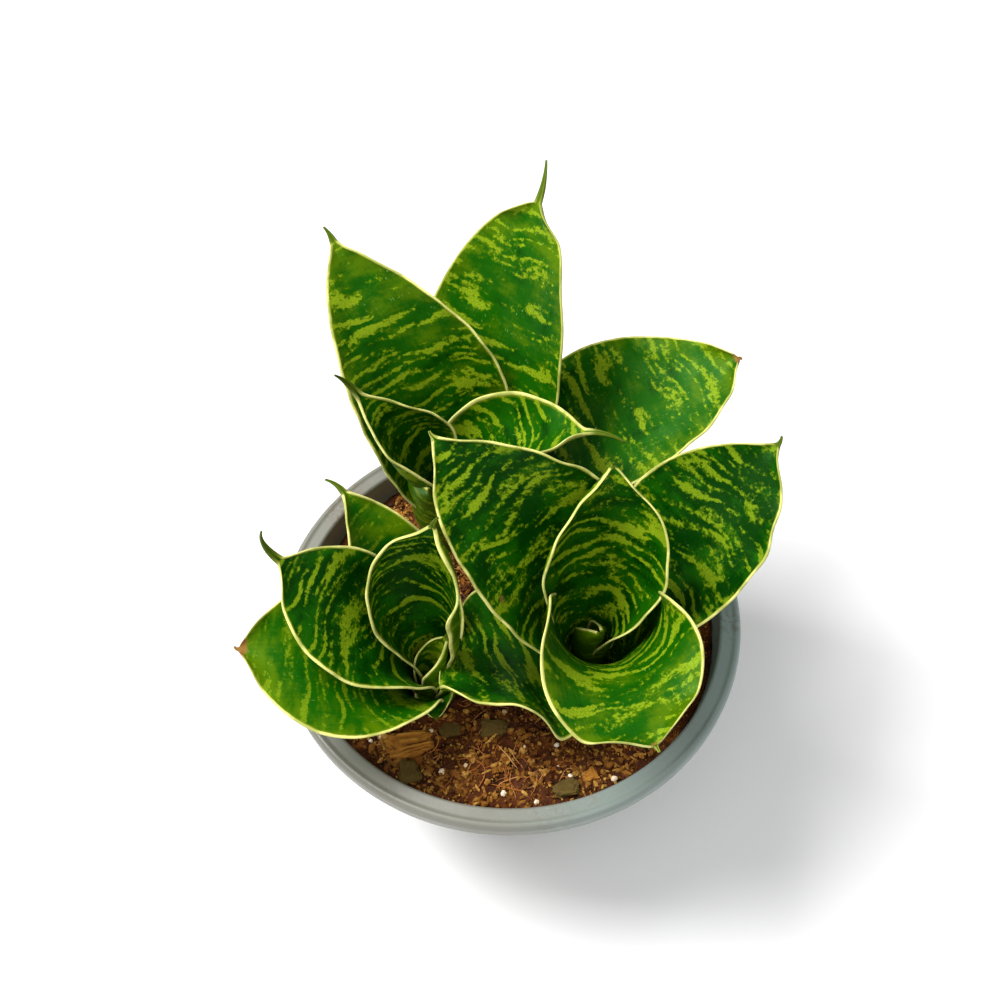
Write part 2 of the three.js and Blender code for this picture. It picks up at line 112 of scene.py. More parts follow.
def mesh_piece(name: str, verts: np.ndarray, faces: list, node: tuple) -> bpy.types.Object:
    """Make a smooth-shaded mesh object that rides on the plant's one body.

    Args:
        name: Name of the piece.
        verts: Vertex places in mm.
        faces: Lists of vertex numbers.
        node: Names of the CAD nodes that it stands for, or an empty tuple.

    Returns:
        The new object, linked to the scene.
    """
    mesh = bpy.data.meshes.new(name)
    mesh.from_pydata((np.asarray(verts) * MM).tolist(), [], faces)
    mesh.validate()
    mesh.shade_smooth()
    piece = placed_object(name, mesh)
    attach(piece, "root")
    if node:
        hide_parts(*node)
    return piece


def add_attribute(piece: bpy.types.Object, name: str, values: np.ndarray) -> None:
    """Store a vector of three numbers per vertex under a name that materials can read."""
    layer = piece.data.attributes.new(name, "FLOAT_VECTOR", "POINT")
    layer.data.foreach_set("vector", np.asarray(values, np.float32).ravel())


def circle(count: int) -> np.ndarray:
    """Return the angles of points set evenly round a circle."""
    return np.linspace(0, WHOLE_TURN, count, endpoint=False)


def ring_faces(rows: int, around: int) -> list:
    """Join rows of points that each go round a ring.

    Args:
        rows: Number of rows.
        around: Points in a row.

    Returns:
        Quads, as four vertex numbers each.
    """
    i, j = np.meshgrid(np.arange(rows - 1), np.arange(around), indexing="ij")
    k = (j + 1) % around
    quads = np.stack([i * around + j, i * around + k, (i + 1) * around + k, (i + 1) * around + j], -1)
    return quads.reshape(-1, 4).tolist()


def closed_skin(points: np.ndarray, start: np.ndarray, end: np.ndarray) -> tuple:
    """Join rows of points, each going round a ring, into a closed skin.

    Args:
        points: Places in mm, of shape rows, ring, 3.
        start: The place that the first row closes onto.
        end: The place that the last row closes onto.

    Returns:
        The vertex places and a list of vertex numbers per face.
    """
    rows, ring = points.shape[:2]
    faces = ring_faces(rows, ring)
    verts = np.concatenate([points.reshape(-1, 3), [start, end]])
    last = (rows - 1) * ring
    for j in range(ring):
        k = (j + 1) % ring
        faces.append([rows * ring, k, j])
        faces.append([rows * ring + 1, last + j, last + k])
    return verts, faces


# ---------------------------------------------------------------------------
# Shader helpers
# ---------------------------------------------------------------------------
class Nodes:
    """A node tree with short calls for adding and joining nodes."""

    def __init__(self, tree: bpy.types.NodeTree) -> None:
        """Keep the tree that nodes are added to."""
        self.tree = tree

    def add(self, kind: str, inputs: dict | None = None, **settings: object) -> bpy.types.Node:
        """Add a node.

        Args:
            kind: Node type without its ShaderNode prefix, or a full type name.
            inputs: Values or output sockets by input name or number.
            settings: Properties of the node.

        Returns:
            The new node.
        """
        full = kind if kind.startswith("NodeGroup") else "ShaderNode" + kind
        node = self.tree.nodes.new(full)
        for key, value in settings.items():
            setattr(node, key, value)
        for key, value in (inputs or {}).items():
            self.join(value, node.inputs[key])
        return node

    def join(self, value: object, socket: bpy.types.NodeSocket) -> None:
        """Link a socket to a value, or set it where the value is plain.

        Args:
            value: An output socket, or a plain number, vector or colour.
            socket: The input socket.
        """
        if isinstance(value, bpy.types.NodeSocket):
            self.tree.links.new(value, socket)
        else:
            socket.default_value = value

    def math(self, operation: str, a: object, b: object = 0.0, clamp: bool = False) -> bpy.types.NodeSocket:
        """Return the output of a Math node on a and b."""
        return self.add("Math", {0: a, 1: b}, operation=operation, use_clamp=clamp).outputs[0]

    def plus(self, a: object, b: object) -> bpy.types.NodeSocket:
        """Return the sum of a and b."""
        return self.math("ADD", a, b)

    def minus(self, a: object, b: object) -> bpy.types.NodeSocket:
        """Return a less b."""
        return self.math("SUBTRACT", a, b)

    def times(self, a: object, b: object, clamp: bool = False) -> bpy.types.NodeSocket:
        """Return the product of a and b, kept within 0 to 1 if clamped."""
        return self.math("MULTIPLY", a, b, clamp)

    def swing(self, value: object, amount: float) -> bpy.types.NodeSocket:
        """Return a noise of 0 to 1 as one that swings about zero by half the amount."""
        return self.times(self.minus(value, 0.5), amount)

    def ramp(self, value: object, low: float, high: float, to: tuple = (0.0, 1.0)) -> bpy.types.NodeSocket:
        """Return a value eased from one range onto another.

        Args:
            value: The value.
            low: Where the easing starts.
            high: Where it ends.
            to: What comes out at low and at high.

        Returns:
            The eased value.
        """
        limits = {"From Min": low, "From Max": high, "To Min": to[0], "To Max": to[1]}
        node = self.add("MapRange", {"Value": value, **limits}, interpolation_type="SMOOTHSTEP")
        return node.outputs["Result"]

    def mix(self, factor: object, a: object, b: object) -> bpy.types.NodeSocket:
        """Return colour a mixed with colour b by the factor."""
        return self.add("Mix", {0: factor, 6: a, 7: b}, data_type="RGBA").outputs[2]

    def noise(self, vector: object, scale: object, detail: float = 2.0, rough: float = 0.5) -> object:
        """Return the value of a Noise texture at a vector."""
        node = self.add("TexNoise", {"Vector": vector, "Scale": scale, "Detail": detail, "Roughness": rough})
        return node.outputs["Fac"]

    def scaled(self, vector: object, factors: tuple, offset: tuple = (0.0, 0.0, 0.0)) -> object:
        """Return a vector multiplied part by part, then moved by an offset."""
        parts = {0: vector, 1: factors, 2: offset}
        return self.add("VectorMath", parts, operation="MULTIPLY_ADD").outputs[0]

    def moved(self, vector: object, by: dict) -> bpy.types.NodeSocket:
        """Return a vector moved by the numbers given for its axes 0, 1 and 2."""
        step = self.add("CombineXYZ", by).outputs[0]
        return self.add("VectorMath", {0: vector, 1: step}, operation="ADD").outputs[0]

    def attribute(self, name: str) -> bpy.types.bpy_prop_collection:
        """Return the x, y and z sockets of a stored vector attribute."""
        stored = self.add("Attribute", attribute_name=name).outputs["Vector"]
        return self.add("SeparateXYZ", {0: stored}).outputs

    def place(self) -> bpy.types.NodeSocket:
        """Return the surface's place in the piece's own metres."""
        return self.add("TexCoord").outputs["Object"]

    def group(self, tree: bpy.types.NodeTree, inputs: dict) -> bpy.types.NodeSocket:
        """Return the output of a shared group, given values or sockets by input name."""
        return self.add("Group", inputs, node_tree=tree).outputs[0]

    def relief(self, shader: bpy.types.Node, height: object, strength: float, depth: float) -> None:
        """Give the shader a bump.

        Args:
            shader: The Principled node.
            height: The bump's height socket.
            strength: Strength of the bump, up to 1.
            depth: How deep a height of one is, in metres.
        """
        bump = self.add("Bump", {"Height": height, "Strength": strength, "Distance": depth})
        self.join(bump.outputs["Normal"], shader.inputs["Normal"])


def rgb(*channels: int) -> tuple:
    """Return a display colour of 0 to 255 per channel as the linear colour that shaders use."""
    shares = [value / 255 for value in channels]
    return (*(c / 12.92 if c <= 0.04045 else ((c + 0.055) / 1.055) ** 2.4 for c in shares), 1.0)


def new_group(name: str, inputs: dict, outputs: dict) -> tuple:
    """Make a shader node group with named sockets.

    Args:
        name: Name of the group.
        inputs: Socket kinds by name, such as {"Size": "NodeSocketFloat"}.
        outputs: The same for the outputs.

    Returns:
        The group, its Nodes helper, its input node's outputs and its output node's inputs.
    """
    tree = bpy.data.node_groups.new(name, "ShaderNodeTree")
    for title, kind in inputs.items():
        tree.interface.new_socket(name=title, in_out="INPUT", socket_type=kind)
    for title, kind in outputs.items():
        tree.interface.new_socket(name=title, in_out="OUTPUT", socket_type=kind)
    nodes = Nodes(tree)
    source = nodes.add("NodeGroupInput").outputs
    sink = nodes.add("NodeGroupOutput").inputs
    return tree, nodes, source, sink


def new_material(name: str) -> tuple:
    """Make a material with a Principled shader.

    Args:
        name: Name of the material.

    Returns:
        The material, its Nodes helper and its Principled node.
    """
    material = bpy.data.materials.new(name)
    material.use_nodes = True
    nodes = Nodes(material.node_tree)
    shader = next(n for n in material.node_tree.nodes if n.type == "BSDF_PRINCIPLED")
    return material, nodes, shader


FLOAT = "NodeSocketFloat"
VECTOR = "NodeSocketVector"
COLOR = "NodeSocketColor"


class Effects:
    """Shader node groups that several materials share."""

    def __init__(self) -> None:
        """Build every group once."""
        self.grain = self._grain()
        self.dirt = self._dirt()
        self.palette = self._palette()

    @staticmethod
    def _grain() -> bpy.types.NodeTree:
        """Make the bump height of rough stuff, coarse with a share of fine.

        Returns:
            The group.
        """
        inputs = {"Vector": VECTOR, "Coarse": FLOAT, "Fine": FLOAT, "Fine Share": FLOAT}
        tree, n, source, sink = new_group("surface_grain", inputs, {"Height": FLOAT})
        coarse = n.noise(source["Vector"], source["Coarse"], 3.0)
        fine = n.noise(source["Vector"], source["Fine"], 4.0)
        n.join(n.plus(coarse, n.times(fine, source["Fine Share"])), sink["Height"])
        return tree

    @staticmethod
    def _dirt() -> bpy.types.NodeTree:
        """Make the mask of scattered smudges and specks of the potting mix.

        Returns:
            The group.
        """
        clean, patch_edge = 0.78, 5.0
        speck_level, speck_edge = 0.44, 6.0
        inputs = {"Vector": VECTOR, "Amount": FLOAT, "Patch Size": FLOAT, "Speck Size": FLOAT}
        tree, n, source, sink = new_group("mix_dirt", inputs, {"Mask": FLOAT})
        patch = n.noise(source["Vector"], source["Patch Size"])
        speck = n.noise(source["Vector"], source["Speck Size"], 5.0)
        patches = n.times(n.minus(patch, n.minus(clean, source["Amount"])), patch_edge, clamp=True)
        specks = n.times(n.minus(speck, speck_level), speck_edge, clamp=True)
        n.join(n.times(patches, specks), sink["Mask"])
        return tree

    @staticmethod
    def _palette() -> bpy.types.NodeTree:
        """Make the choice of a colour between three by a number from 0 to 1.

        Returns:
            The group.
        """
        inputs = {"Pick": FLOAT, "Dark": COLOR, "Middle": COLOR, "Light": COLOR}
        tree, n, source, sink = new_group("three_colours", inputs, {"Color": COLOR})
        low = n.mix(n.ramp(source["Pick"], 0.0, 0.5), source["Dark"], source["Middle"])
        n.join(n.mix(n.ramp(source["Pick"], 0.5, 1.0), low, source["Light"]), sink["Color"])
        return tree


# ---------------------------------------------------------------------------
# Finishes
# ---------------------------------------------------------------------------
@dataclass(frozen=True)
class LeafSkin:
    """Waxy leaf skin: ragged pale cross bands on deep green, inside a cream margin.

    Noise scales are per mm, as one number or as across, along and unused.
    """

    deep: tuple = rgb(0, 44, 0)
    green: tuple = rgb(16, 76, 0)
    fresh: tuple = rgb(70, 102, 0)
    band: tuple = rgb(122, 146, 20)
    cream: tuple = rgb(212, 210, 124)
    margin_inner: tuple = rgb(126, 132, 22)
    dry: tuple = rgb(128, 92, 44)
    tip: tuple = rgb(66, 84, 10)
    speck: tuple = rgb(122, 160, 76)
    sheen: tuple = rgb(150, 220, 120)
    roughness: float = 0.42
    specular: float = 0.22
    underside: float = 0.45
    seed_step: tuple = (37.0, 91.0)
    drift: float = 0.05
    drift_reach: float = 15.0
    broad: tuple = (0.035, 0.23, 1.0)
    narrow: tuple = (0.05, 0.46, 1.0)
    region: float = 0.045
    teeth: tuple = (0.5, 0.62, 1.0)
    teeth_depth: float = 0.95
    cloud: tuple = (0.09, 0.13, 1.0)
    cloud_depth: float = 0.34
    flecks: tuple = (1.7, 2.2, 1.0)
    specks: tuple = (1.6, 0.6, 1.0)
    mottle: tuple = (0.07, 0.13, 1.0)
    mottle_depth: float = 1.9
    streak: tuple = (1.1, 0.12, 1.0)
    streak_depth: float = 0.25
    greenness: float = 0.76
    rim_width: float = 7.0
    ripple: float = 0.35
    ripple_depth: float = 0.7
    wear: float = 0.13
    blotches: float = 0.6
    fibres: tuple = (2.6, 0.10, 1.0)
    pores: float = 1.8
    relief: float = 0.0004

    def make(self, effects: Effects) -> bpy.types.Material:
        """Build the material.

        Reads three stored vectors: blade (mm across from the midrib, mm from the base, mm to
        the margin), traits (seed, dryness, 1 on the underside) and tone (freshness, strength
        of the bands, width of the margin in mm).

        Args:
            effects: The shared node groups.

        Returns:
            The material.
        """
        material, n, shader = new_material("leaf_skin")
        across, along, edge = n.attribute("blade")
        seed, dryness, under = n.attribute("traits")
        freshness, strength, margin = n.attribute("tone")
        flat = n.add("CombineXYZ", {0: across, 1: along}).outputs[0]
        spot = n.moved(flat, {axis: n.times(seed, step) for axis, step in enumerate(self.seed_step)})
        band, glow = self._bands(n, spot)
        colour = self._ground(n, effects, spot, freshness, edge)
        colour = n.mix(n.times(glow, strength, clamp=True), colour, self.fresh)
        colour = n.mix(n.times(band, strength, clamp=True), colour, self.band)
        colour = n.mix(self._specks(n, spot), colour, self.speck)
        colour = n.mix(n.times(under, self.underside), colour, self.fresh)
        colour = self._margin(n, spot, edge, margin, colour)
        colour = n.mix(n.ramp(dryness, -0.4, -0.1, (0.85, 0.0)), colour, self.tip)
        blotch = n.times(n.noise(spot, self.blotches, 3.0), 0.9)
        withered = n.ramp(n.plus(dryness, blotch), 0.8, 1.1)
        n.join(n.mix(withered, colour, self.dry), shader.inputs["Base Color"])
        self._gloss(n, shader, spot, withered)
        return material

    def _bands(self, n: Nodes, spot: object) -> tuple:
        """Draw the cross bands.

        Args:
            n: The material's nodes.
            spot: The place on the leaf in mm, moved by its seed.

        Returns:
            The mask of the ragged bands and that of the wider glow round them.
        """
        bent = n.moved(spot, {1: n.times(n.noise(spot, self.drift, 1.0), self.drift_reach)})
        broad = n.noise(n.scaled(bent, self.broad), 1.0, 0.0)
        narrow = n.noise(n.scaled(bent, self.narrow, (9.0, 5.0, 0.0)), 1.0, 0.0)
        region = n.ramp(n.noise(spot, self.region, 1.0), 0.36, 0.52)
        stripe = n.add("Mix", {0: region, 2: broad, 3: narrow}).outputs[0]
        teeth = n.noise(n.scaled(spot, self.teeth), 1.0, 4.0, 0.66)
        cloud = n.noise(n.scaled(spot, self.cloud, (3.0, 7.0, 0.0)), 1.0, 1.0)
        level = n.plus(stripe, n.swing(teeth, self.teeth_depth))
        level = n.plus(level, n.swing(cloud, self.cloud_depth))
        flecked = n.ramp(n.noise(n.scaled(spot, self.flecks), 1.0, 3.0), 0.34, 0.6, (0.45, 1.0))
        return n.times(n.ramp(level, 0.59, 0.67), flecked), n.ramp(level, 0.5, 0.62, (0.0, 0.75))

    def _specks(self, n: Nodes, spot: object) -> object:
        """Return the mask of the tiny pale specks, gathered in a few places."""
        speck = n.ramp(n.noise(n.scaled(spot, self.specks), 1.0, 1.0), 0.68, 0.74)
        return n.times(speck, n.ramp(n.noise(spot, 0.09, 1.0), 0.48, 0.62, (0.0, 0.5)))

    def _ground(self, n: Nodes, effects: Effects, spot: object, freshness: object, edge: object) -> object:
        """Colour the green between the bands, fresher in patches and near the margin.

        Args:
            n: The material's nodes.
            effects: The shared node groups.
            spot: The place on the leaf in mm.
            freshness: How yellow the green is.
            edge: The distance to the margin in mm.

        Returns:
            The colour.
        """
        mottle = n.noise(n.scaled(spot, self.mottle), 1.0, 4.0, 0.6)
        streak = n.noise(n.scaled(spot, self.streak), 1.0, 2.0)
        pick = n.plus(n.times(mottle, self.mottle_depth), n.times(streak, self.streak_depth))
        rim = n.ramp(edge, 0.0, self.rim_width, (0.2, 0.0))
        pick = n.plus(n.plus(pick, freshness), n.minus(rim, self.greenness))
        greens = {"Dark": self.deep, "Middle": self.green, "Light": self.fresh}
        return n.group(effects.palette, {"Pick": pick, **greens})

    def _margin(self, n: Nodes, spot: object, edge: object, margin: object, colour: object) -> object:
        """Add the cream margin and the yellow-green line inside it.

        Args:
            n: The material's nodes.
            spot: The place on the leaf in mm.
            edge: The distance to the margin in mm.
            margin: The margin's width in mm.
            colour: The colour so far.

        Returns:
            The colour.
        """
        ripple = n.swing(n.noise(spot, self.ripple), self.ripple_depth)
        ratio = n.math("DIVIDE", n.minus(edge, ripple), margin)
        worn = n.ramp(n.noise(spot, self.wear), 0.38, 0.58, (0.45, 1.0))
        worn = n.times(worn, n.ramp(margin, 0.28, 0.46, (0.25, 1.0)))
        colour = n.mix(n.ramp(ratio, 0.75, 1.9, (0.6, 0.0)), colour, self.margin_inner)
        return n.mix(n.times(n.ramp(ratio, 0.35, 0.95, (1.0, 0.0)), worn), colour, self.cream)

    def _gloss(self, n: Nodes, shader: bpy.types.Node, spot: object, withered: object) -> None:
        """Set the gloss, waxy in the green and dull where dry, and the fine lengthwise relief.

        Args:
            n: The material's nodes.
            shader: The Principled node.
            spot: The place on the leaf in mm.
            withered: The mask of the dry places.
        """
        rough = n.ramp(n.noise(spot, 0.16, 3.0), 0.3, 0.7, (self.roughness - 0.07, self.roughness + 0.13))
        n.join(n.plus(rough, n.times(withered, 0.35)), shader.inputs["Roughness"])
        n.join(self.specular, shader.inputs["Specular IOR Level"])
        n.join(self.sheen, shader.inputs["Specular Tint"])
        fibres = n.noise(n.scaled(spot, self.fibres), 1.0, 3.0)
        pores = n.times(n.noise(spot, self.pores), 0.45)
        n.relief(shader, n.plus(fibres, pores), 0.3, self.relief)


@dataclass(frozen=True)
class PotPlastic:
    """Satin grey-green moulded plastic with dust and dirt from potting.

    Noise scales are per metre. The painted light slope is how fast the colour turns from the body
    colour to a lighter, bluer tint from left to right: painted light on the pot's right side. Smudges
    are amount, patch scale and speck scale; grain is coarse scale, fine scale and fine share.
    """

    body: tuple = rgb(116, 115, 105)
    # painted light: the lighter, bluer colour of the pot's lit right side
    painted_lit_tint: tuple = rgb(126, 146, 143)
    dust: tuple = rgb(150, 150, 138)
    dirt: tuple = rgb(104, 78, 50)
    roughness: float = 0.42
    painted_light_slope: float = 7.0
    smudges: tuple = (0.22, 38.0, 700.0)
    scuffs: tuple = (60.0, 60.0, 400.0)
    grain: tuple = (260.0, 2600.0, 0.4)

    def make(self, effects: Effects) -> bpy.types.Material:
        """Build the material.

        Args:
            effects: The shared node groups.

        Returns:
            The material.
        """
        material, n, shader = new_material("pot_plastic")
        place = n.place()
        # painted light: the plastic turns lighter and bluer towards +x, standing in for light on the right
        # side
        painted_light_ramp = n.times(n.add("SeparateXYZ", {0: place}).outputs[0], self.painted_light_slope)
        shade = n.plus(n.swing(n.noise(place, 18.0, 3.0), 0.6), painted_light_ramp)
        colour = n.mix(n.ramp(shade, -0.1, 0.6), self.body, self.painted_lit_tint)
        colour = n.mix(n.ramp(n.noise(place, 900.0, 3.0), 0.62, 0.78, (0.0, 0.35)), colour, self.dust)
        names = ("Amount", "Patch Size", "Speck Size")
        dirt = n.group(effects.dirt, {"Vector": place, **dict(zip(names, self.smudges))})
        n.join(n.mix(n.times(dirt, 0.75), colour, self.dirt), shader.inputs["Base Color"])
        scuff = n.noise(n.scaled(place, self.scuffs), 1.0, 3.0)
        rough = n.ramp(scuff, 0.3, 0.7, (self.roughness - 0.06, self.roughness + 0.1))
        n.join(n.plus(rough, n.times(dirt, 0.35)), shader.inputs["Roughness"])
        names = ("Coarse", "Fine", "Fine Share")
        grain = n.group(effects.grain, {"Vector": place, **dict(zip(names, self.grain))})
        n.relief(shader, n.plus(grain, n.times(dirt, 2.0)), 0.18, 0.0004)
        return material


@dataclass(frozen=True)
class Crumbly:
    """Rough natural stuff coloured from three colours, one pick per crumb plus a mottle."""

    name: str
    dark: tuple
    middle: tuple
    light: tuple
    mottle: float = 0.35
    size: float = 900.0
    relief: float = 0.0006
    roughness: float = 0.85
    specular: float = 0.2
    finer: float = 3.3

    def make(self, effects: Effects) -> bpy.types.Material:
        """Build the material, which reads the stored vector crumb, whose x picks the colour.

        Args:
            effects: The shared node groups.

        Returns:
            The material.
        """
        material, n, shader = new_material(self.name)
        place = n.place()
        pick = n.plus(n.attribute("crumb")[0], n.swing(n.noise(place, self.size, 4.0), 2 * self.mottle))
        colours = {"Dark": self.dark, "Middle": self.middle, "Light": self.light}
        n.join(n.group(effects.palette, {"Pick": pick, **colours}), shader.inputs["Base Color"])
        n.join(self.specular, shader.inputs["Specular IOR Level"])
        rough = n.ramp(n.noise(place, 60.0), 0.3, 0.7, (self.roughness - 0.2, self.roughness + 0.1))
        n.join(rough, shader.inputs["Roughness"])
        sizes = {"Coarse": self.size, "Fine": self.size * self.finer, "Fine Share": 0.5}
        n.relief(shader, n.group(effects.grain, {"Vector": place, **sizes}), 0.7, self.relief)
        return material


class Stuff(Enum):
    """The named finishes of everything in the pot that isn't a leaf.

    Each has its name, its three colours, then mottle, grain size per metre and relief in metres.
    """

    MIX = Crumbly(
        "damp_mix", rgb(36, 12, 2), rgb(78, 36, 8), rgb(128, 76, 22), 0.6, 420.0, 0.0015)
    CRUMBS = Crumbly(
        "mix_crumbs", rgb(62, 28, 6), rgb(128, 80, 22), rgb(188, 142, 66), 0.4, 800.0, 0.0006)
    FIBRE = Crumbly(
        "coir_fibre", rgb(118, 58, 20), rgb(168, 98, 44), rgb(204, 150, 92), 0.15, 500.0, 0.0001)
    BARK = Crumbly(
        "bark", rgb(86, 46, 10), rgb(154, 98, 28), rgb(188, 132, 50), 0.4, 260.0, 0.0009)
    STONE_BARK = Crumbly(
        "dark_bark", rgb(54, 40, 12), rgb(86, 68, 26), rgb(116, 94, 44), 0.3, 300.0, 0.0006)
    PERLITE = Crumbly(
        "perlite", rgb(196, 160, 112), rgb(236, 206, 164), rgb(252, 240, 222), 0.3, 1200.0, 0.0005)
    CROWN = Crumbly(
        "rhizome_cork", rgb(120, 96, 52), rgb(176, 156, 96), rgb(206, 192, 136), 0.3, 300.0, 0.0006)


# ---------------------------------------------------------------------------
# Leaves
# ---------------------------------------------------------------------------
@dataclass(frozen=True)
class Patch:
    """A dry place on a leaf: where it is from base (0) to tip (1) and across (-1 to 1)."""

    along: float
    across: float
    length: float
    width: float
    amount: float = 1.0


@dataclass(frozen=True)
class LeafShape:
    """One leaf: a strip on a curved midrib. Sizes in mm, angles in degrees.

    Its base stands at the distance ring from the crown's middle and clasps it by the angle clasp
    each way. The midrib sets off towards heading, leans off the vertical by lean (at its base, at
    its end; late above 1 puts the lean off) and veers sideways. The blade is width across at the
    share widest of its length, is hollowed by cup (there, at its end), narrows by taper, rolls and
    twists about the midrib, sways to one side and may wrap over itself or wave along one margin.
    The horny point is as long as point and curls by hook and hook_side. Freshness, bands and
    margin set its own skin, and patches are its dry places.
    """

    SHEATH_THICKNESS = 1.1
    BLADE_THICKNESS = 2.0
    MARGIN_THICKNESS = 0.75
    TIP_SHARE = 0.75
    FULL_WIDTH = 30

    name: str
    ring: float
    clasp: float
    heading: float
    lean: tuple
    length: float
    width: float
    cup: tuple
    widest: float = 0.55
    taper: float = 0.9
    late: float = 1.0
    veer: float = 0.0
    roll: float = 0.0
    twist: float = 0.0
    sway: float = 0.0
    wrap: float = 0.0
    point: float = 6.0
    hook: float = 0.0
    hook_side: float = 0.0
    wave: float = 0.0
    waves: float = 1.8
    wave_start: float = 0.5
    wave_side: int = 1
    freshness: float = 0.0
    bands: float = 1.0
    margin: float = 0.5
    patches: tuple = ()

    def half_width(self, s: np.ndarray) -> np.ndarray:
        """Measure the blade round its trough.

        Args:
            s: Stations, from 0 at the base to 1 at the end.

        Returns:
            Half the width in mm.
        """
        sheath = self.ring * math.radians(self.clasp)
        half = self.width / 2
        rise = np.sin(math.pi / 2 * np.clip(s / self.widest, 0, 1)) ** 1.4
        fall = np.clip((s - self.widest) / (1 - self.widest), 0, 1) ** 2
        blade = half * np.clip(1 - fall, 0, 1) ** self.taper
        return np.where(s < self.widest, sheath + (half - sheath) * rise, blade)

    def trough(self, s: np.ndarray) -> np.ndarray:
        """Measure how hollow the blade is.

        Args:
            s: Stations, from 0 to 1.

        Returns:
            Half the angle that the cross-section bends through, in radians.
        """
        clasp, cup, cup_tip = np.radians([self.clasp, *self.cup])
        low = lerp(clasp, cup, smooth(s / self.widest))
        high = lerp(cup, cup_tip, smooth((s - self.widest) / (1 - self.widest)))
        return np.where(s < self.widest, low, high)

    def thickness(self, s: np.ndarray, v: np.ndarray) -> np.ndarray:
        """Measure the leaf's thickness: thin in the sheath, thick low down, thin at the end.

        Args:
            s: Stations, from 0 to 1.
            v: Places across, from -1 to 1.

        Returns:
            The thickness in mm.
        """
        heart = lerp(self.SHEATH_THICKNESS, self.BLADE_THICKNESS, smooth(s / 0.35))
        heart = heart * lerp(1.0, self.TIP_SHARE, smooth(s))
        margin = np.minimum(self.MARGIN_THICKNESS, heart)
        return lerp(heart, margin, v * v) * min(1.0, self.width / self.FULL_WIDTH)


def turn_about(vector: np.ndarray, axis: np.ndarray, angle: float) -> np.ndarray:
    """Return a vector turned about a unit axis that is square to it."""
    return vector * math.cos(angle) + np.cross(axis, vector) * math.sin(angle)


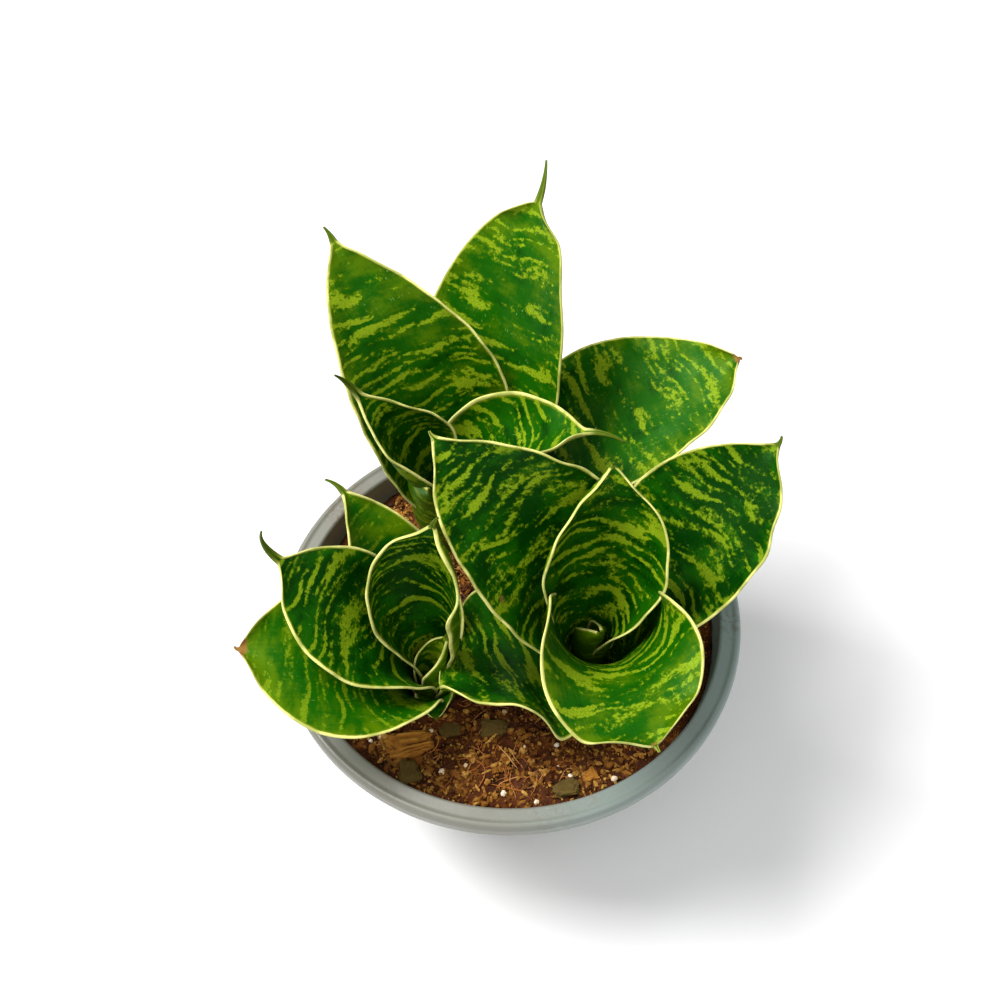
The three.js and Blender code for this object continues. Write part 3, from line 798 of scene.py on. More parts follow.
class Leaf:
    """One finished leaf: a closed skin with rounded margins and a horny point.

    Over its last DRAWN_IN mm the blade draws in to the point, whose half width falls to
    POINT_HALF at the very end. It turns horny where its half width is under HORN_HALF. Each
    UNEVENNESS is a wavelength and a height in mm: broad, small, and a frill at the margins.
    """

    ROWS = 100
    COLUMNS = 40
    POINT_ROWS = 12
    MARGIN_POINTS = 3
    BASE_LEVEL = 63.0
    FINE = 400
    FINE_ACROSS = 100
    CROWDING = 0.82
    ROLL_BY = 0.3
    POINT_HALF = 0.32
    POINT_SPREAD = 1.5
    POINT_REACH = 4
    DRAWN_IN = 9
    CALM_HALF = 9
    HORN_HALF = 1.9
    HORN_FADE = 1.2
    HORN_BEND = 95
    HORN_THICKNESS = (0.12, 0.9)
    SEED_STEP = 0.137
    MARGIN_EDGE = -0.2
    UNEVENNESS = ((34.0, 0.55), (11.0, 0.12), (17.0, 0.7))

    def __init__(self, shape: LeafShape, crown: tuple, seed: int) -> None:
        """Keep the leaf's own numbers.

        Args:
            shape: The leaf's sizes.
            crown: The middle of its rosette, as x and y in mm.
            seed: The number that fixes its unevenness and its pattern.
        """
        self.shape = shape
        self.crown = crown
        self.seed = seed

    def _midrib(self) -> dict:
        """Follow the midrib from the base to the blade's end.

        Returns:
            The stations s, with their places and the blade's own three axes.
        """
        shape = self.shape
        fine = np.linspace(0, 1, self.FINE + 1)
        lean = np.radians(lerp(*shape.lean, fine ** shape.late))
        turn = np.radians(shape.heading + shape.veer * fine)
        along = np.stack([np.sin(lean) * np.cos(turn), np.sin(lean) * np.sin(turn), np.cos(lean)], 1)
        heading = math.radians(shape.heading)
        start = np.array([self.crown[0] + shape.ring * math.cos(heading),
                          self.crown[1] + shape.ring * math.sin(heading), self.BASE_LEVEL])
        steps = (along[1:] + along[:-1]) / 2 * (shape.length / self.FINE)
        track = np.concatenate([[start], start + np.cumsum(steps, 0)])
        s = 1 - (1 - np.linspace(0, 1, self.ROWS + 1)) ** 1.5
        place = np.stack([np.interp(s, fine, track[:, k]) for k in range(3)], 1)
        lean, turn = np.interp(s, fine, lean), np.interp(s, fine, turn)
        along = np.stack([np.sin(lean) * np.cos(turn), np.sin(lean) * np.sin(turn), np.cos(lean)], 1)
        face = np.stack([-np.cos(lean) * np.cos(turn), -np.cos(lean) * np.sin(turn), np.sin(lean)], 1)
        across = np.stack([np.sin(turn), -np.cos(turn), 0 * s], 1)
        roll = (np.radians(shape.roll + shape.twist * smooth(s)) * smooth(s / self.ROLL_BY))[:, None]
        return {
            "s": s,
            "place": place,
            "along": along,
            "face": face * np.cos(roll) + across * np.sin(roll),
            "across": across * np.cos(roll) - face * np.sin(roll),
        }

    def _with_point(self, rib: dict) -> dict:
        """Add the stations of the curling horny point.

        Args:
            rib: The midrib's stations.

        Returns:
            All the stations, with reach as the distance in mm beyond the blade's end.
        """
        shape = self.shape
        along, across, face, place = (rib[key][-1] for key in ("along", "across", "face", "place"))
        hook = math.radians(shape.hook) / self.POINT_ROWS
        side = -math.radians(shape.hook_side) / self.POINT_ROWS
        step = shape.point / self.POINT_ROWS
        added = {"place": [], "along": [], "across": [], "face": []}
        for _ in range(self.POINT_ROWS):
            along, face = turn_about(along, across, hook), turn_about(face, across, hook)
            along, across = turn_about(along, face, side), turn_about(across, face, side)
            place = place + along * step
            for rows, value in zip(added.values(), (place, along, across, face)):
                rows.append(value)
        both = {key: np.concatenate([rib[key], np.array(rows)]) for key, rows in added.items()}
        both["s"] = np.concatenate([rib["s"], np.ones(self.POINT_ROWS)])
        beyond = np.arange(1, self.POINT_ROWS + 1) * step
        both["reach"] = np.concatenate([np.zeros(self.ROWS + 1), beyond])
        return both

    def _sections(self, rib: dict) -> tuple:
        """Size the cross-section at each station.

        Args:
            rib: All the stations.

        Returns:
            Half widths, trough angles, and shares that rise from 0 to 1 into the horny point.
        """
        shape = self.shape
        s, reach = rib["s"], rib["reach"]
        left = (1 - s) * shape.length + shape.point - reach
        spread = np.clip(left / (shape.point + self.POINT_REACH), 0, 1.5) ** 1.3
        horn_half = self.POINT_HALF + self.POINT_SPREAD * spread
        blade = np.where(reach > 0, 0.0, shape.half_width(s))
        near = smooth(1 - (1 - s) * shape.length / self.DRAWN_IN)
        half = np.where(near > 0, (blade ** 3 + (horn_half * near) ** 3) ** (1 / 3), blade)
        horn = smooth((self.HORN_HALF - half) / self.HORN_FADE) * near
        bend = shape.trough(s)
        bend = lerp(bend, np.maximum(bend, math.radians(self.HORN_BEND)), near * 0.75)
        return half, np.maximum(bend, 0.01), horn

    def _ring(self) -> tuple:
        """Set out a ring of points round the section: over the face, then back underneath.

        Returns:
            Places across from -1 to 1, and turns from the face's side (0) to the underside (pi).
        """
        widest = math.pi / 2 * self.CROWDING
        v = np.sin(np.linspace(-widest, widest, self.COLUMNS + 1)) / math.sin(widest)
        turns = np.linspace(0, math.pi, self.MARGIN_POINTS + 2)[1:-1]
        right = np.ones(self.MARGIN_POINTS)
        ring_v = np.concatenate([v, right, v[::-1], -right])
        tilt = np.concatenate([0 * v, turns, 0 * v + math.pi, math.pi + turns])
        return ring_v, tilt

    def _surface(self) -> tuple:
        """Shape the skin.

        Returns:
            Points, and the stored vectors blade, traits and tone, each of shape rows, ring, 3.
        """
        shape = self.shape
        rib = self._with_point(self._midrib())
        v, tilt = self._ring()
        s = rib["s"][:, None]
        half, bend, horn = (part[:, None] for part in self._sections(rib))
        arc, x, z = self._curve(s, half, bend, v)
        x = x + shape.sway * half * np.sin(math.pi * s)
        side = np.clip(v * shape.wave_side, 0, None)
        swell = np.sin(WHOLE_TURN * shape.waves * s + shape.wave_start) * np.sin(math.pi * s)
        z = z + shape.wave * v * v * side * swell
        across, face, place = (rib[key][:, None] for key in ("across", "face", "place"))
        middle = place + across * x[..., None] + face * z[..., None]
        normal = face * np.cos(arc)[..., None] - across * np.sin(arc)[..., None]
        outward = across * np.cos(arc)[..., None] + face * np.sin(arc)[..., None]
        depth = shape.thickness(s, v) / 2
        thin, thick = self.HORN_THICKNESS
        round_depth = np.minimum(half * np.sqrt(np.clip(1.02 - v * v, 0, 1)) * 0.8, thick)
        depth = lerp(depth, np.minimum(np.maximum(round_depth, thin), depth), horn)
        skin = normal * np.cos(tilt)[:, None] + outward * (np.sign(v) * np.abs(np.sin(tilt)))[:, None]
        points = middle + skin * depth[..., None]
        points = points + normal * self._unevenness(middle, s, v, half)[..., None]
        rounded = np.abs(np.sin(tilt)) > 1e-6
        edge = np.where(rounded, self.MARGIN_EDGE, half * (1 - np.abs(v)))
        under = np.broadcast_to(np.cos(tilt) < 0, edge.shape)
        blade = np.stack([half * v, s * shape.length + rib["reach"][:, None] + 0 * v, edge], -1)
        traits = np.stack([0 * edge + self.seed * self.SEED_STEP, self._dryness(s, v, horn), under], -1)
        return points, blade, traits, self._tone(s, v, horn)

    def _curve(self, s: np.ndarray, half: np.ndarray, bend: np.ndarray, v: np.ndarray) -> tuple:
        """Curve the trough.

        Args:
            s: Stations, from 0 to 1.
            half: Half widths in mm.
            bend: Half the angle that the section bends through.
            v: Ring points, from -1 to 1.

        Returns:
            Slope angles, and places across the blade and out of its face in mm.
        """
        wrap = self.shape.wrap * (1 - smooth(s / self.shape.widest))
        fine = np.linspace(-1, 1, 2 * self.FINE_ACROSS + 1)
        slope = bend * (fine + wrap * fine * fine / 2)
        placed = []
        for part in (np.cos(slope), np.sin(slope)):
            run = np.cumsum(part, 1) / self.FINE_ACROSS
            run = run - run[:, self.FINE_ACROSS, None]
            placed.append(half * np.stack([np.interp(v, fine, row) for row in run]))
        return bend * (v + wrap * v * v / 2), *placed

    def _unevenness(self, middle: np.ndarray, s: np.ndarray, v: np.ndarray, half: np.ndarray) -> np.ndarray:
        """Find how far each point of the blade stands off its smooth shape.

        Args:
            middle: Places in the middle of the leaf's thickness, in mm.
            s: Stations, from 0 to 1.
            v: Ring points, from -1 to 1.
            half: Half widths in mm.

        Returns:
            Heights in mm: broad and small waves everywhere and a frill at the margins.
        """
        broad, small, frill = (Waves(self.seed * 7 + k + 1, size).at(middle) * height
                               for k, (size, height) in enumerate(self.UNEVENNESS))
        calm = smooth(s / 0.35) * smooth(half / self.CALM_HALF)
        return (broad + small + frill * np.abs(v) ** 4) * calm

    def _dryness(self, s: np.ndarray, v: np.ndarray, horn: np.ndarray) -> np.ndarray:
        """Find the dry places.

        Args:
            s: Stations, from 0 to 1.
            v: Ring points, from -1 to 1.
            horn: Shares of the horny point.

        Returns:
            Dryness: about 1 where the leaf is dead, below 0 on a live horny point.
        """
        dry = -0.5 * horn + 0 * v
        for patch in self.shape.patches:
            far = np.hypot((s - patch.along) / patch.length, (v - patch.across) / patch.width)
            dry = np.maximum(dry, patch.amount * (1 - smooth(far - 0.25)))
        return dry

    def _tone(self, s: np.ndarray, v: np.ndarray, horn: np.ndarray) -> np.ndarray:
        """Find how the pattern changes along the leaf.

        Args:
            s: Stations, from 0 to 1.
            v: Ring points, from -1 to 1.
            horn: Shares of the horny point.

        Returns:
            Freshness, strength of the bands and the margin's width in mm, as the last axis.
        """
        shape = self.shape
        sheath = smooth(1 - s / 0.3)
        fresh = shape.freshness * 1.5 * s ** 1.5 + 0.2 * sheath
        bands = shape.bands * (1 - 0.25 * sheath) * (1 - horn)
        margin = shape.margin * smooth(s / 0.15 + 0.2) * (1 - 0.9 * horn) + 0.02
        return np.stack([value + 0 * v for value in (fresh, bands, margin)], -1)

    def build(self, skin: bpy.types.Material) -> bpy.types.Object:
        """Make the leaf's mesh and dress it.

        Args:
            skin: The leaf skin.

        Returns:
            The leaf, which stands for the CAD node of the same name.
        """
        points, *stored = self._surface()
        verts, faces = closed_skin(points, *points[[0, -1]].mean(axis=1))
        piece = mesh_piece(f"skin_{self.shape.name}", verts, faces, (self.shape.name,))
        for name, values in zip(("blade", "traits", "tone"), stored):
            closing = values[[0, -1]].mean(axis=1)
            add_attribute(piece, name, np.concatenate([values.reshape(-1, 3), closing]))
        piece.data.materials.append(skin)
        return piece


@dataclass(frozen=True)
class Rosette:
    """The leaves that grow from one crown, from the heart outwards."""

    name: str
    crown: tuple
    leaves: tuple

    def build(self, skin: bpy.types.Material, first_seed: int) -> None:
        """Build and dress every leaf.

        Args:
            skin: The leaf skin.
            first_seed: Seed of the first leaf; the others follow on.
        """
        for i, shape in enumerate(self.leaves):
            Leaf(shape, self.crown, first_seed + i).build(skin)
        LOG.info("%s: %d leaves", self.name, len(self.leaves))


MAIN_CROWN = (25.0, -20.0)
BACK_CROWN = (-20.0, 36.0)
SIDE_CROWN = (-24.0, -26.0)
MAIN_ROSETTE = Rosette(
    name="main rosette",
    crown=MAIN_CROWN,
    leaves=(
        LeafShape(name="main_heart_leaf", ring=2, clasp=165, heading=-60, lean=(0, 8), length=34,
                  width=24, cup=(150, 120), widest=0.6, point=1.5, freshness=0.3),
        LeafShape(name="main_funnel_leaf", ring=3.6, clasp=165, heading=81, lean=(10, 24),
                  length=81, width=51, cup=(84, 64), widest=0.66, taper=1, veer=-1, roll=-9,
                  twist=27, wrap=0.5, point=1, hook=45, hook_side=-25, bands=1.2),
        LeafShape(name="main_front_leaf", ring=5.4, clasp=140, heading=-91, lean=(0, 93),
                  length=77, width=64, cup=(107, 2), widest=0.5, taper=0.6, veer=29, roll=-16,
                  twist=16, sway=-0.05, late=1.2, point=2, freshness=0.26,
                  patches=(Patch(1.0, 0.0, 0.02, 1.0, 0.6),)),
        LeafShape(name="main_left_leaf", ring=7.2, clasp=120, heading=148, lean=(8, 55),
                  length=100, width=55, cup=(44, 36), widest=0.54, taper=1.1, veer=-5, roll=-13,
                  twist=-19, sway=0.25, point=1.5, hook_side=25, freshness=-0.2,
                  patches=(Patch(0.5, -0.8, 0.03, 0.07, 0.55),)),
        LeafShape(name="main_right_leaf", ring=9, clasp=105, heading=35, lean=(30, 49), length=92,
                  width=50, cup=(32, 22), widest=0.58, taper=0.95, veer=2, roll=-3, twist=8,
                  sway=-0.05, point=2.5, hook=10, hook_side=-35, freshness=-0.28, bands=0.72, margin=0.4),
        LeafShape(name="main_low_leaf", ring=10.5, clasp=95, heading=203, lean=(28, 102),
                  length=47, width=60, cup=(14, 29), widest=0.38, taper=0.7, veer=-11, roll=-2,
                  twist=29, sway=0.2, late=1.2, point=1, hook=-25, hook_side=-15, wave=3,
                  wave_side=-1),
    ),
)
BACK_ROSETTE = Rosette(
    name="back rosette",
    crown=BACK_CROWN,
    leaves=(
        LeafShape(name="back_cup_leaf", ring=3.6, clasp=160, heading=183, lean=(7, 29), length=77,
                  width=40, cup=(118, 48), widest=0.48, taper=1.25, veer=-14, roll=-6, twist=-26,
                  sway=0.1, point=11, hook=20, hook_side=-20),
        LeafShape(name="back_arched_leaf", ring=5.2, clasp=145, heading=-3, lean=(1, 70),
                  length=78, width=51, cup=(100, 40), widest=0.48, taper=1.05, veer=-7, roll=5,
                  twist=-12, late=1.2, point=12, hook=-40, hook_side=10, freshness=0.05,
                  margin=1.0),
        LeafShape(name="back_left_leaf", ring=7, clasp=115, heading=131, lean=(8, 45), length=110,
                  width=54, cup=(48, 27), widest=0.44, taper=1.1, veer=-4, roll=-11, twist=-11,
                  sway=0.3, point=4, hook_side=-20, freshness=0.3, bands=1.2),
        LeafShape(name="back_tall_leaf", ring=8.6, clasp=105, heading=64, lean=(19, 33),
                  length=115, width=55, cup=(29, 22), widest=0.46, taper=0.6, veer=-7, roll=4,
                  twist=-12, sway=0.05, point=13.5, hook=-30, hook_side=-35,
                  freshness=0.26, margin=0.33),
        LeafShape(name="back_right_leaf", ring=10.2, clasp=95, heading=9, lean=(43, 65),
                  length=107, width=56, cup=(22, 15), widest=0.52, taper=0.75, veer=12, roll=3,
                  twist=4, sway=-0.2, point=1, hook=-80, hook_side=100, freshness=0.22, margin=0.4,
                  patches=(Patch(1.0, 0.0, 0.02, 2.0),)),
        LeafShape(name="back_outer_leaf", ring=9.4, clasp=95, heading=252, lean=(5, 12),
                  length=45, width=38, cup=(80, 60), widest=0.5, point=3),
    ),
)
SIDE_ROSETTE = Rosette(
    name="side rosette",
    crown=SIDE_CROWN,
    leaves=(
        LeafShape(name="side_heart_leaf", ring=2.4, clasp=160, heading=40, lean=(-6, 22),
                  length=29, width=24, cup=(150, 90), point=4, freshness=0.3),
        LeafShape(name="side_cup_leaf", ring=3.2, clasp=150, heading=85, lean=(18, 0), length=74,
                  width=48, cup=(109, 54), widest=0.64, taper=0.85, veer=-10, roll=21, twist=-34,
                  sway=-0.15, point=3.5, hook=-55, hook_side=35, freshness=-0.2, bands=0.9, margin=1.0),
        LeafShape(name="side_left_leaf", ring=4.8, clasp=120, heading=176, lean=(9, 56), length=75,
                  width=40, cup=(22, 17), widest=0.6, taper=0.85, veer=-18, roll=20, twist=-37,
                  sway=-0.05, point=14, hook=70, hook_side=20, freshness=-0.16, bands=0.82),
        LeafShape(name="side_back_leaf", ring=6.2, clasp=105, heading=117, lean=(15, 57),
                  length=71, width=34, cup=(24, 37), widest=0.42, veer=15, roll=-2, twist=15,
                  sway=0.05, point=6.5, hook=-20, hook_side=-35, freshness=0.34, bands=0.5),
        LeafShape(name="side_low_leaf", ring=7.6, clasp=100, heading=199, lean=(9, 88), length=70,
                  width=51, cup=(5, 11), widest=0.54, veer=-20, roll=17, twist=-32, point=1.5,
                  hook=10, hook_side=65, freshness=0.36, bands=0.55,
                  patches=(Patch(1.0, 0.0, 0.05, 2.0),)),
        LeafShape(name="side_round_leaf", ring=6, clasp=50, heading=-85, lean=(-12, 105),
                  length=20, width=12.5, cup=(40, 10), taper=0.5, late=1.4, point=0.5,
                  freshness=0.15, bands=0.5, margin=0.6),
        LeafShape(name="side_bud_leaf", ring=6.6, clasp=95, heading=12, lean=(0, 5), length=19,
                  width=22, cup=(95, 60), widest=0.5, point=2, margin=0.6),
    ),
)


# ---------------------------------------------------------------------------
# Pot
# ---------------------------------------------------------------------------
@dataclass(frozen=True)
class PotSize:
    """Driving sizes of the pot, in mm."""

    rim: float = 75.0
    height: float = 71.0
    band: float = 7.0
    drop: float = 6.0
    base: float = 45.0
    wall: float = 2.0
    floor: float = 2.5
    holes: int = 5
    hole: float = 3.0
    hole_circle: float = 28.0


class Pot:
    """A tapered tub with a broad flat rim, a bead on its edge and a short skirt."""

    AROUND = 288
    CORNER_STEPS = 7
    LONGEST_RUN = 6.0
    HOLE_POINTS = 48
    CORNER_SHARE = 0.48
    SHARP = 50
    WOBBLE = ((0.0009, 2, 0.7), (0.0005, 5, 0.0))

    def __init__(self, size: PotSize = PotSize()) -> None:
        """Keep the sizes."""
        self.size = size

    def _corners(self) -> list:
        """List the corners of the turned outline, from under the base round to the inside floor.

        Returns:
            Radius, height and corner radius of each.
        """
        p = self.size
        inner, top = p.rim - p.band, p.height
        body = top - p.drop
        return [
            (p.base, 0.0, 1.6),
            (inner + 1, body - 4, 3.0),
            (inner + 2, top - 3, 0.8),
            (p.rim - 2, top - 3, 0.8),
            (p.rim - 1.6, body, 0.35),
            (p.rim - 0.4, body, 0.45),
            (p.rim, top - 1.6, 1.2),
            (p.rim - 0.9, top - 0.3, 0.7),
            (p.rim - 1.8, top, 0.7),
            (p.rim - 2.9, top - 0.65, 0.6),
            (inner + 0.7, top - 0.2, 0.8),
            (inner, top - 0.9, 0.6),
            (inner - 1, body - 4, 3.0),
            (p.base - p.wall, p.floor, 2.0),
        ]

    def _outline(self) -> np.ndarray:
        """Round off the outline's corners.

        Returns:
            Radius and height of each point, from the base to the inside floor.
        """
        corners = [(0.0, 0.0, 0.0), *self._corners(), (0.0, self.size.floor, 0.0)]
        places = np.array(corners)[:, :2]
        points = [places[0]]
        for before, here, after, corner in zip(places, places[1:], places[2:], corners[1:]):
            back, ahead = before - here, after - here
            shorter = min(np.linalg.norm(back), np.linalg.norm(ahead))
            reach = min(corner[2], self.CORNER_SHARE * shorter)
            start, end = here + unit(back) * reach, here + unit(ahead) * reach
            for t in np.linspace(0, 1, self.CORNER_STEPS):
                points.append((1 - t) ** 2 * start + 2 * t * (1 - t) * here + t ** 2 * end)
        return np.array([*points, places[-1]])

    def _subdivided(self, outline: np.ndarray) -> np.ndarray:
        """Cut the outline's long straight runs into short steps.

        Args:
            outline: Radius and height of each point.

        Returns:
            The same with more points.
        """
        points = [outline[0]]
        for a, b in zip(outline[:-1], outline[1:]):
            count = max(1, math.ceil(np.linalg.norm(b - a) / self.LONGEST_RUN))
            points.extend(a + (b - a) * k / count for k in range(1, count + 1))
        return np.array(points)

    def build(self, plastic: bpy.types.Material) -> None:
        """Turn the pot, bore its drain holes and dress it.

        Args:
            plastic: The pot's material.
        """
        outline = self._subdivided(self._outline())[1:-1]
        angle = circle(self.AROUND)
        radius, height = outline[:, :1], outline[:, 1:]
        wobble = sum(share * np.sin(lobes * angle + start) for share, lobes, start in self.WOBBLE)
        radius = radius * (1 + wobble)
        points = np.stack([radius * np.cos(angle), radius * np.sin(angle), height + 0 * angle], -1)
        verts, faces = closed_skin(points, (0, 0, 0), (0, 0, self.size.floor))
        piece = mesh_piece("pot_tub", verts, faces, ("pot",))
        for turn in circle(self.size.holes):
            self._bore(piece, turn)
        piece.data.set_sharp_from_angle(angle=math.radians(self.SHARP))
        piece.data.materials.append(plastic)
        LOG.info("pot: %d faces, %d drain holes", len(piece.data.polygons), self.size.holes)

    def _bore(self, piece: bpy.types.Object, turn: float) -> None:
        """Cut one drain hole through the floor of the pot.

        Args:
            piece: The pot.
            turn: Where the hole lies round the pot, in radians.
        """
        p = self.size
        angle = circle(self.HOLE_POINTS)
        x = p.hole_circle * math.cos(turn) + p.hole * np.cos(angle)
        y = p.hole_circle * math.sin(turn) + p.hole * np.sin(angle)
        rows = np.stack([np.stack([x, y, 0 * x + level], 1) for level in (-1.0, p.floor + 1.0)])
        low = list(range(self.HOLE_POINTS))
        high = [k + self.HOLE_POINTS for k in low]
        mesh = bpy.data.meshes.new("drill")
        mesh.from_pydata((rows.reshape(-1, 3) * MM).tolist(), [],
                         [*ring_faces(2, self.HOLE_POINTS), low[::-1], high])
        drill = placed_object("drill", mesh)
        cut = piece.modifiers.new("bore", "BOOLEAN")
        cut.operation = "DIFFERENCE"
        cut.object = drill
        bored = bpy.data.meshes.new_from_object(piece.evaluated_get(bpy.context.evaluated_depsgraph_get()))
        piece.modifiers.clear()
        piece.data = bored
        bpy.data.objects.remove(drill)
        bpy.data.meshes.remove(mesh)


# ---------------------------------------------------------------------------
# Potting mix, bark and perlite
# ---------------------------------------------------------------------------
def crumb_ball(level: int) -> tuple:
    """Cut the faces of an icosahedron into a ball.

    Args:
        level: How often each triangle is cut in four.

    Returns:
        The points of the unit ball and its triangles.
    """
    golden = (1 + math.sqrt(5)) / 2
    points = [(-1, golden, 0), (1, golden, 0), (-1, -golden, 0), (1, -golden, 0),
              (0, -1, golden), (0, 1, golden), (0, -1, -golden), (0, 1, -golden),
              (golden, 0, -1), (golden, 0, 1), (-golden, 0, -1), (-golden, 0, 1)]
    faces = [(0, 11, 5), (0, 5, 1), (0, 1, 7), (0, 7, 10), (0, 10, 11),
             (1, 5, 9), (5, 11, 4), (11, 10, 2), (10, 7, 6), (7, 1, 8),
             (3, 9, 4), (3, 4, 2), (3, 2, 6), (3, 6, 8), (3, 8, 9),
             (4, 9, 5), (2, 4, 11), (6, 2, 10), (8, 6, 7), (9, 8, 1)]
    points = [unit(np.array(p, float)) for p in points]
    for _ in range(level):
        middles: dict = {}
        finer = []
        for a, b, c in faces:
            ids = []
            for i, j in ((a, b), (b, c), (c, a)):
                key = (min(i, j), max(i, j))
                if key not in middles:
                    middles[key] = len(points)
                    points.append(unit((points[i] + points[j]) / 2))
                ids.append(middles[key])
            ab, bc, ca = ids
            finer += [(a, ab, ca), (b, bc, ab), (c, ca, bc), (ab, bc, ca)]
        faces = finer
    return np.array(points), faces


def spin(angle: float, axis: int) -> np.ndarray:
    """Make a turn about one of the three axes.

    Args:
        angle: The turn in radians.
        axis: 0, 1 or 2 for x, y or z.

    Returns:
        The 3 x 3 turn.
    """
    a, b = (axis + 1) % 3, (axis + 2) % 3
    turn = np.eye(3)
    turn[a, a] = turn[b, b] = math.cos(angle)
    turn[b, a] = math.sin(angle)
    turn[a, b] = -math.sin(angle)
    return turn


def random_turn(rng: np.random.Generator, tilt: float) -> np.ndarray:
    """Make a random turn about the vertical, tipped a little.

    Args:
        rng: The source of random numbers.
        tilt: The most it is tipped about x and about y, in degrees.

    Returns:
        The 3 x 3 turn.
    """
    about_z = spin(rng.uniform(0, WHOLE_TURN), 2)
    about_x = spin(math.radians(rng.uniform(-tilt, tilt)), 0)
    about_y = spin(math.radians(rng.uniform(-tilt, tilt)), 1)
    return about_x @ about_y @ about_z


class Heap:
    """Many small closed lumps gathered into one mesh."""

    def __init__(self) -> None:
        """Start with nothing."""
        self.points: list = []
        self.faces: list = []
        self.picks: list = []
        self.count = 0

    def add(self, points: np.ndarray, faces: list, pick: float | np.ndarray) -> None:
        """Add a lump.

        Args:
            points: Places in mm.
            faces: The vertex numbers of each face.
            pick: Colour pick from 0 (dark) to 1 (light), one for all points or one each.
        """
        self.points.append(points)
        self.faces.extend([number + self.count for number in face] for face in faces)
        self.picks.append(np.full(len(points), pick))
        self.count += len(points)

    def build(self, name: str, node: tuple, slot: str, material: bpy.types.Material) -> bpy.types.Object:
        """Make and dress the mesh.

        Args:
            name: Name of the piece.
            node: Names of the CAD nodes that it stands for, or an empty tuple.
            slot: The record's material slot; not used.
            material: Its material, which reads each lump's pick as the stored vector crumb.

        Returns:
            The piece.
        """
        piece = mesh_piece(name, np.concatenate(self.points), self.faces, node)
        pick = np.concatenate(self.picks)
        add_attribute(piece, "crumb", np.stack([pick, 0 * pick, 0 * pick], 1))
        piece.data.materials.append(material)
        LOG.info("%s: %d lumps", name, len(self.points))
        return piece


@dataclass(frozen=True)
class Litter:
    """One kind of small loose lump: how many, its half sizes in mm, and how it lies.

    A pair of numbers is a span that each lump draws its own from.
    """

    count: int
    scale: float | tuple
    sides: tuple
    tilt: float
    rough: float
    sink: float
    tint: tuple
    tint_law: str = "beta"
    fineness: int = 1


LUMPS = Litter(count=2200, scale=(0.4, 1.2), sides=((0.8, 1.6), (0.6, 1.0), 0.6),
               tilt=50, rough=0.34, sink=0.5, tint=(1.5, 1.9))
CRUMBS = Litter(count=5600, scale=(0.22, 0.6), sides=((0.8, 1.6), (0.7, 1.1), 0.8),
                tilt=60, rough=0.25, sink=0.3, tint=(1.6, 1.8), fineness=0)
FLAKES = Litter(count=1000, scale=1.0, sides=((0.9, 2.6), (0.35, 0.9), (0.2, 0.45)),
                tilt=38, rough=0.34, sink=0.2, tint=(1.5, 1.8))
WHITE_GRAINS = Litter(count=46, scale=(0.4, 1.0), sides=(1.0, (0.75, 1.0), 0.85),
                      tilt=60, rough=0.2, sink=0.2, tint=(0.1, 0.9), tint_law="uniform")


@dataclass(frozen=True)
class StrandSize:
    """Sizes of the coir strands, in mm. A pair is a span that each strand draws its own from."""

    count: int = 420
    reach: float = 58
    length: tuple = (4, 15)
    radius: tuple = (0.07, 0.17)
    gap: float = 0.35
    lift: tuple = (0.2, 1.3)
    curl: float = 1.1
    kink: float = 0.5
    sides: int = 5
    rows: int = 11


@dataclass(frozen=True)
class MixSize:
    """Driving sizes of the potting mix, in mm."""

    level: float = 61.5
    crown: float = 1.0
    mound: float = 3.2
    wall_low: float = 43.0
    wall_high: float = 67.0
    wall_top: float = 61.0
    wall_gap: float = 0.5
    edge: float = 66.6
    litter_reach: float = 65.6
    strand_reach: float = 65.2
    floor: float = 2.8
    heart: float = 9.0


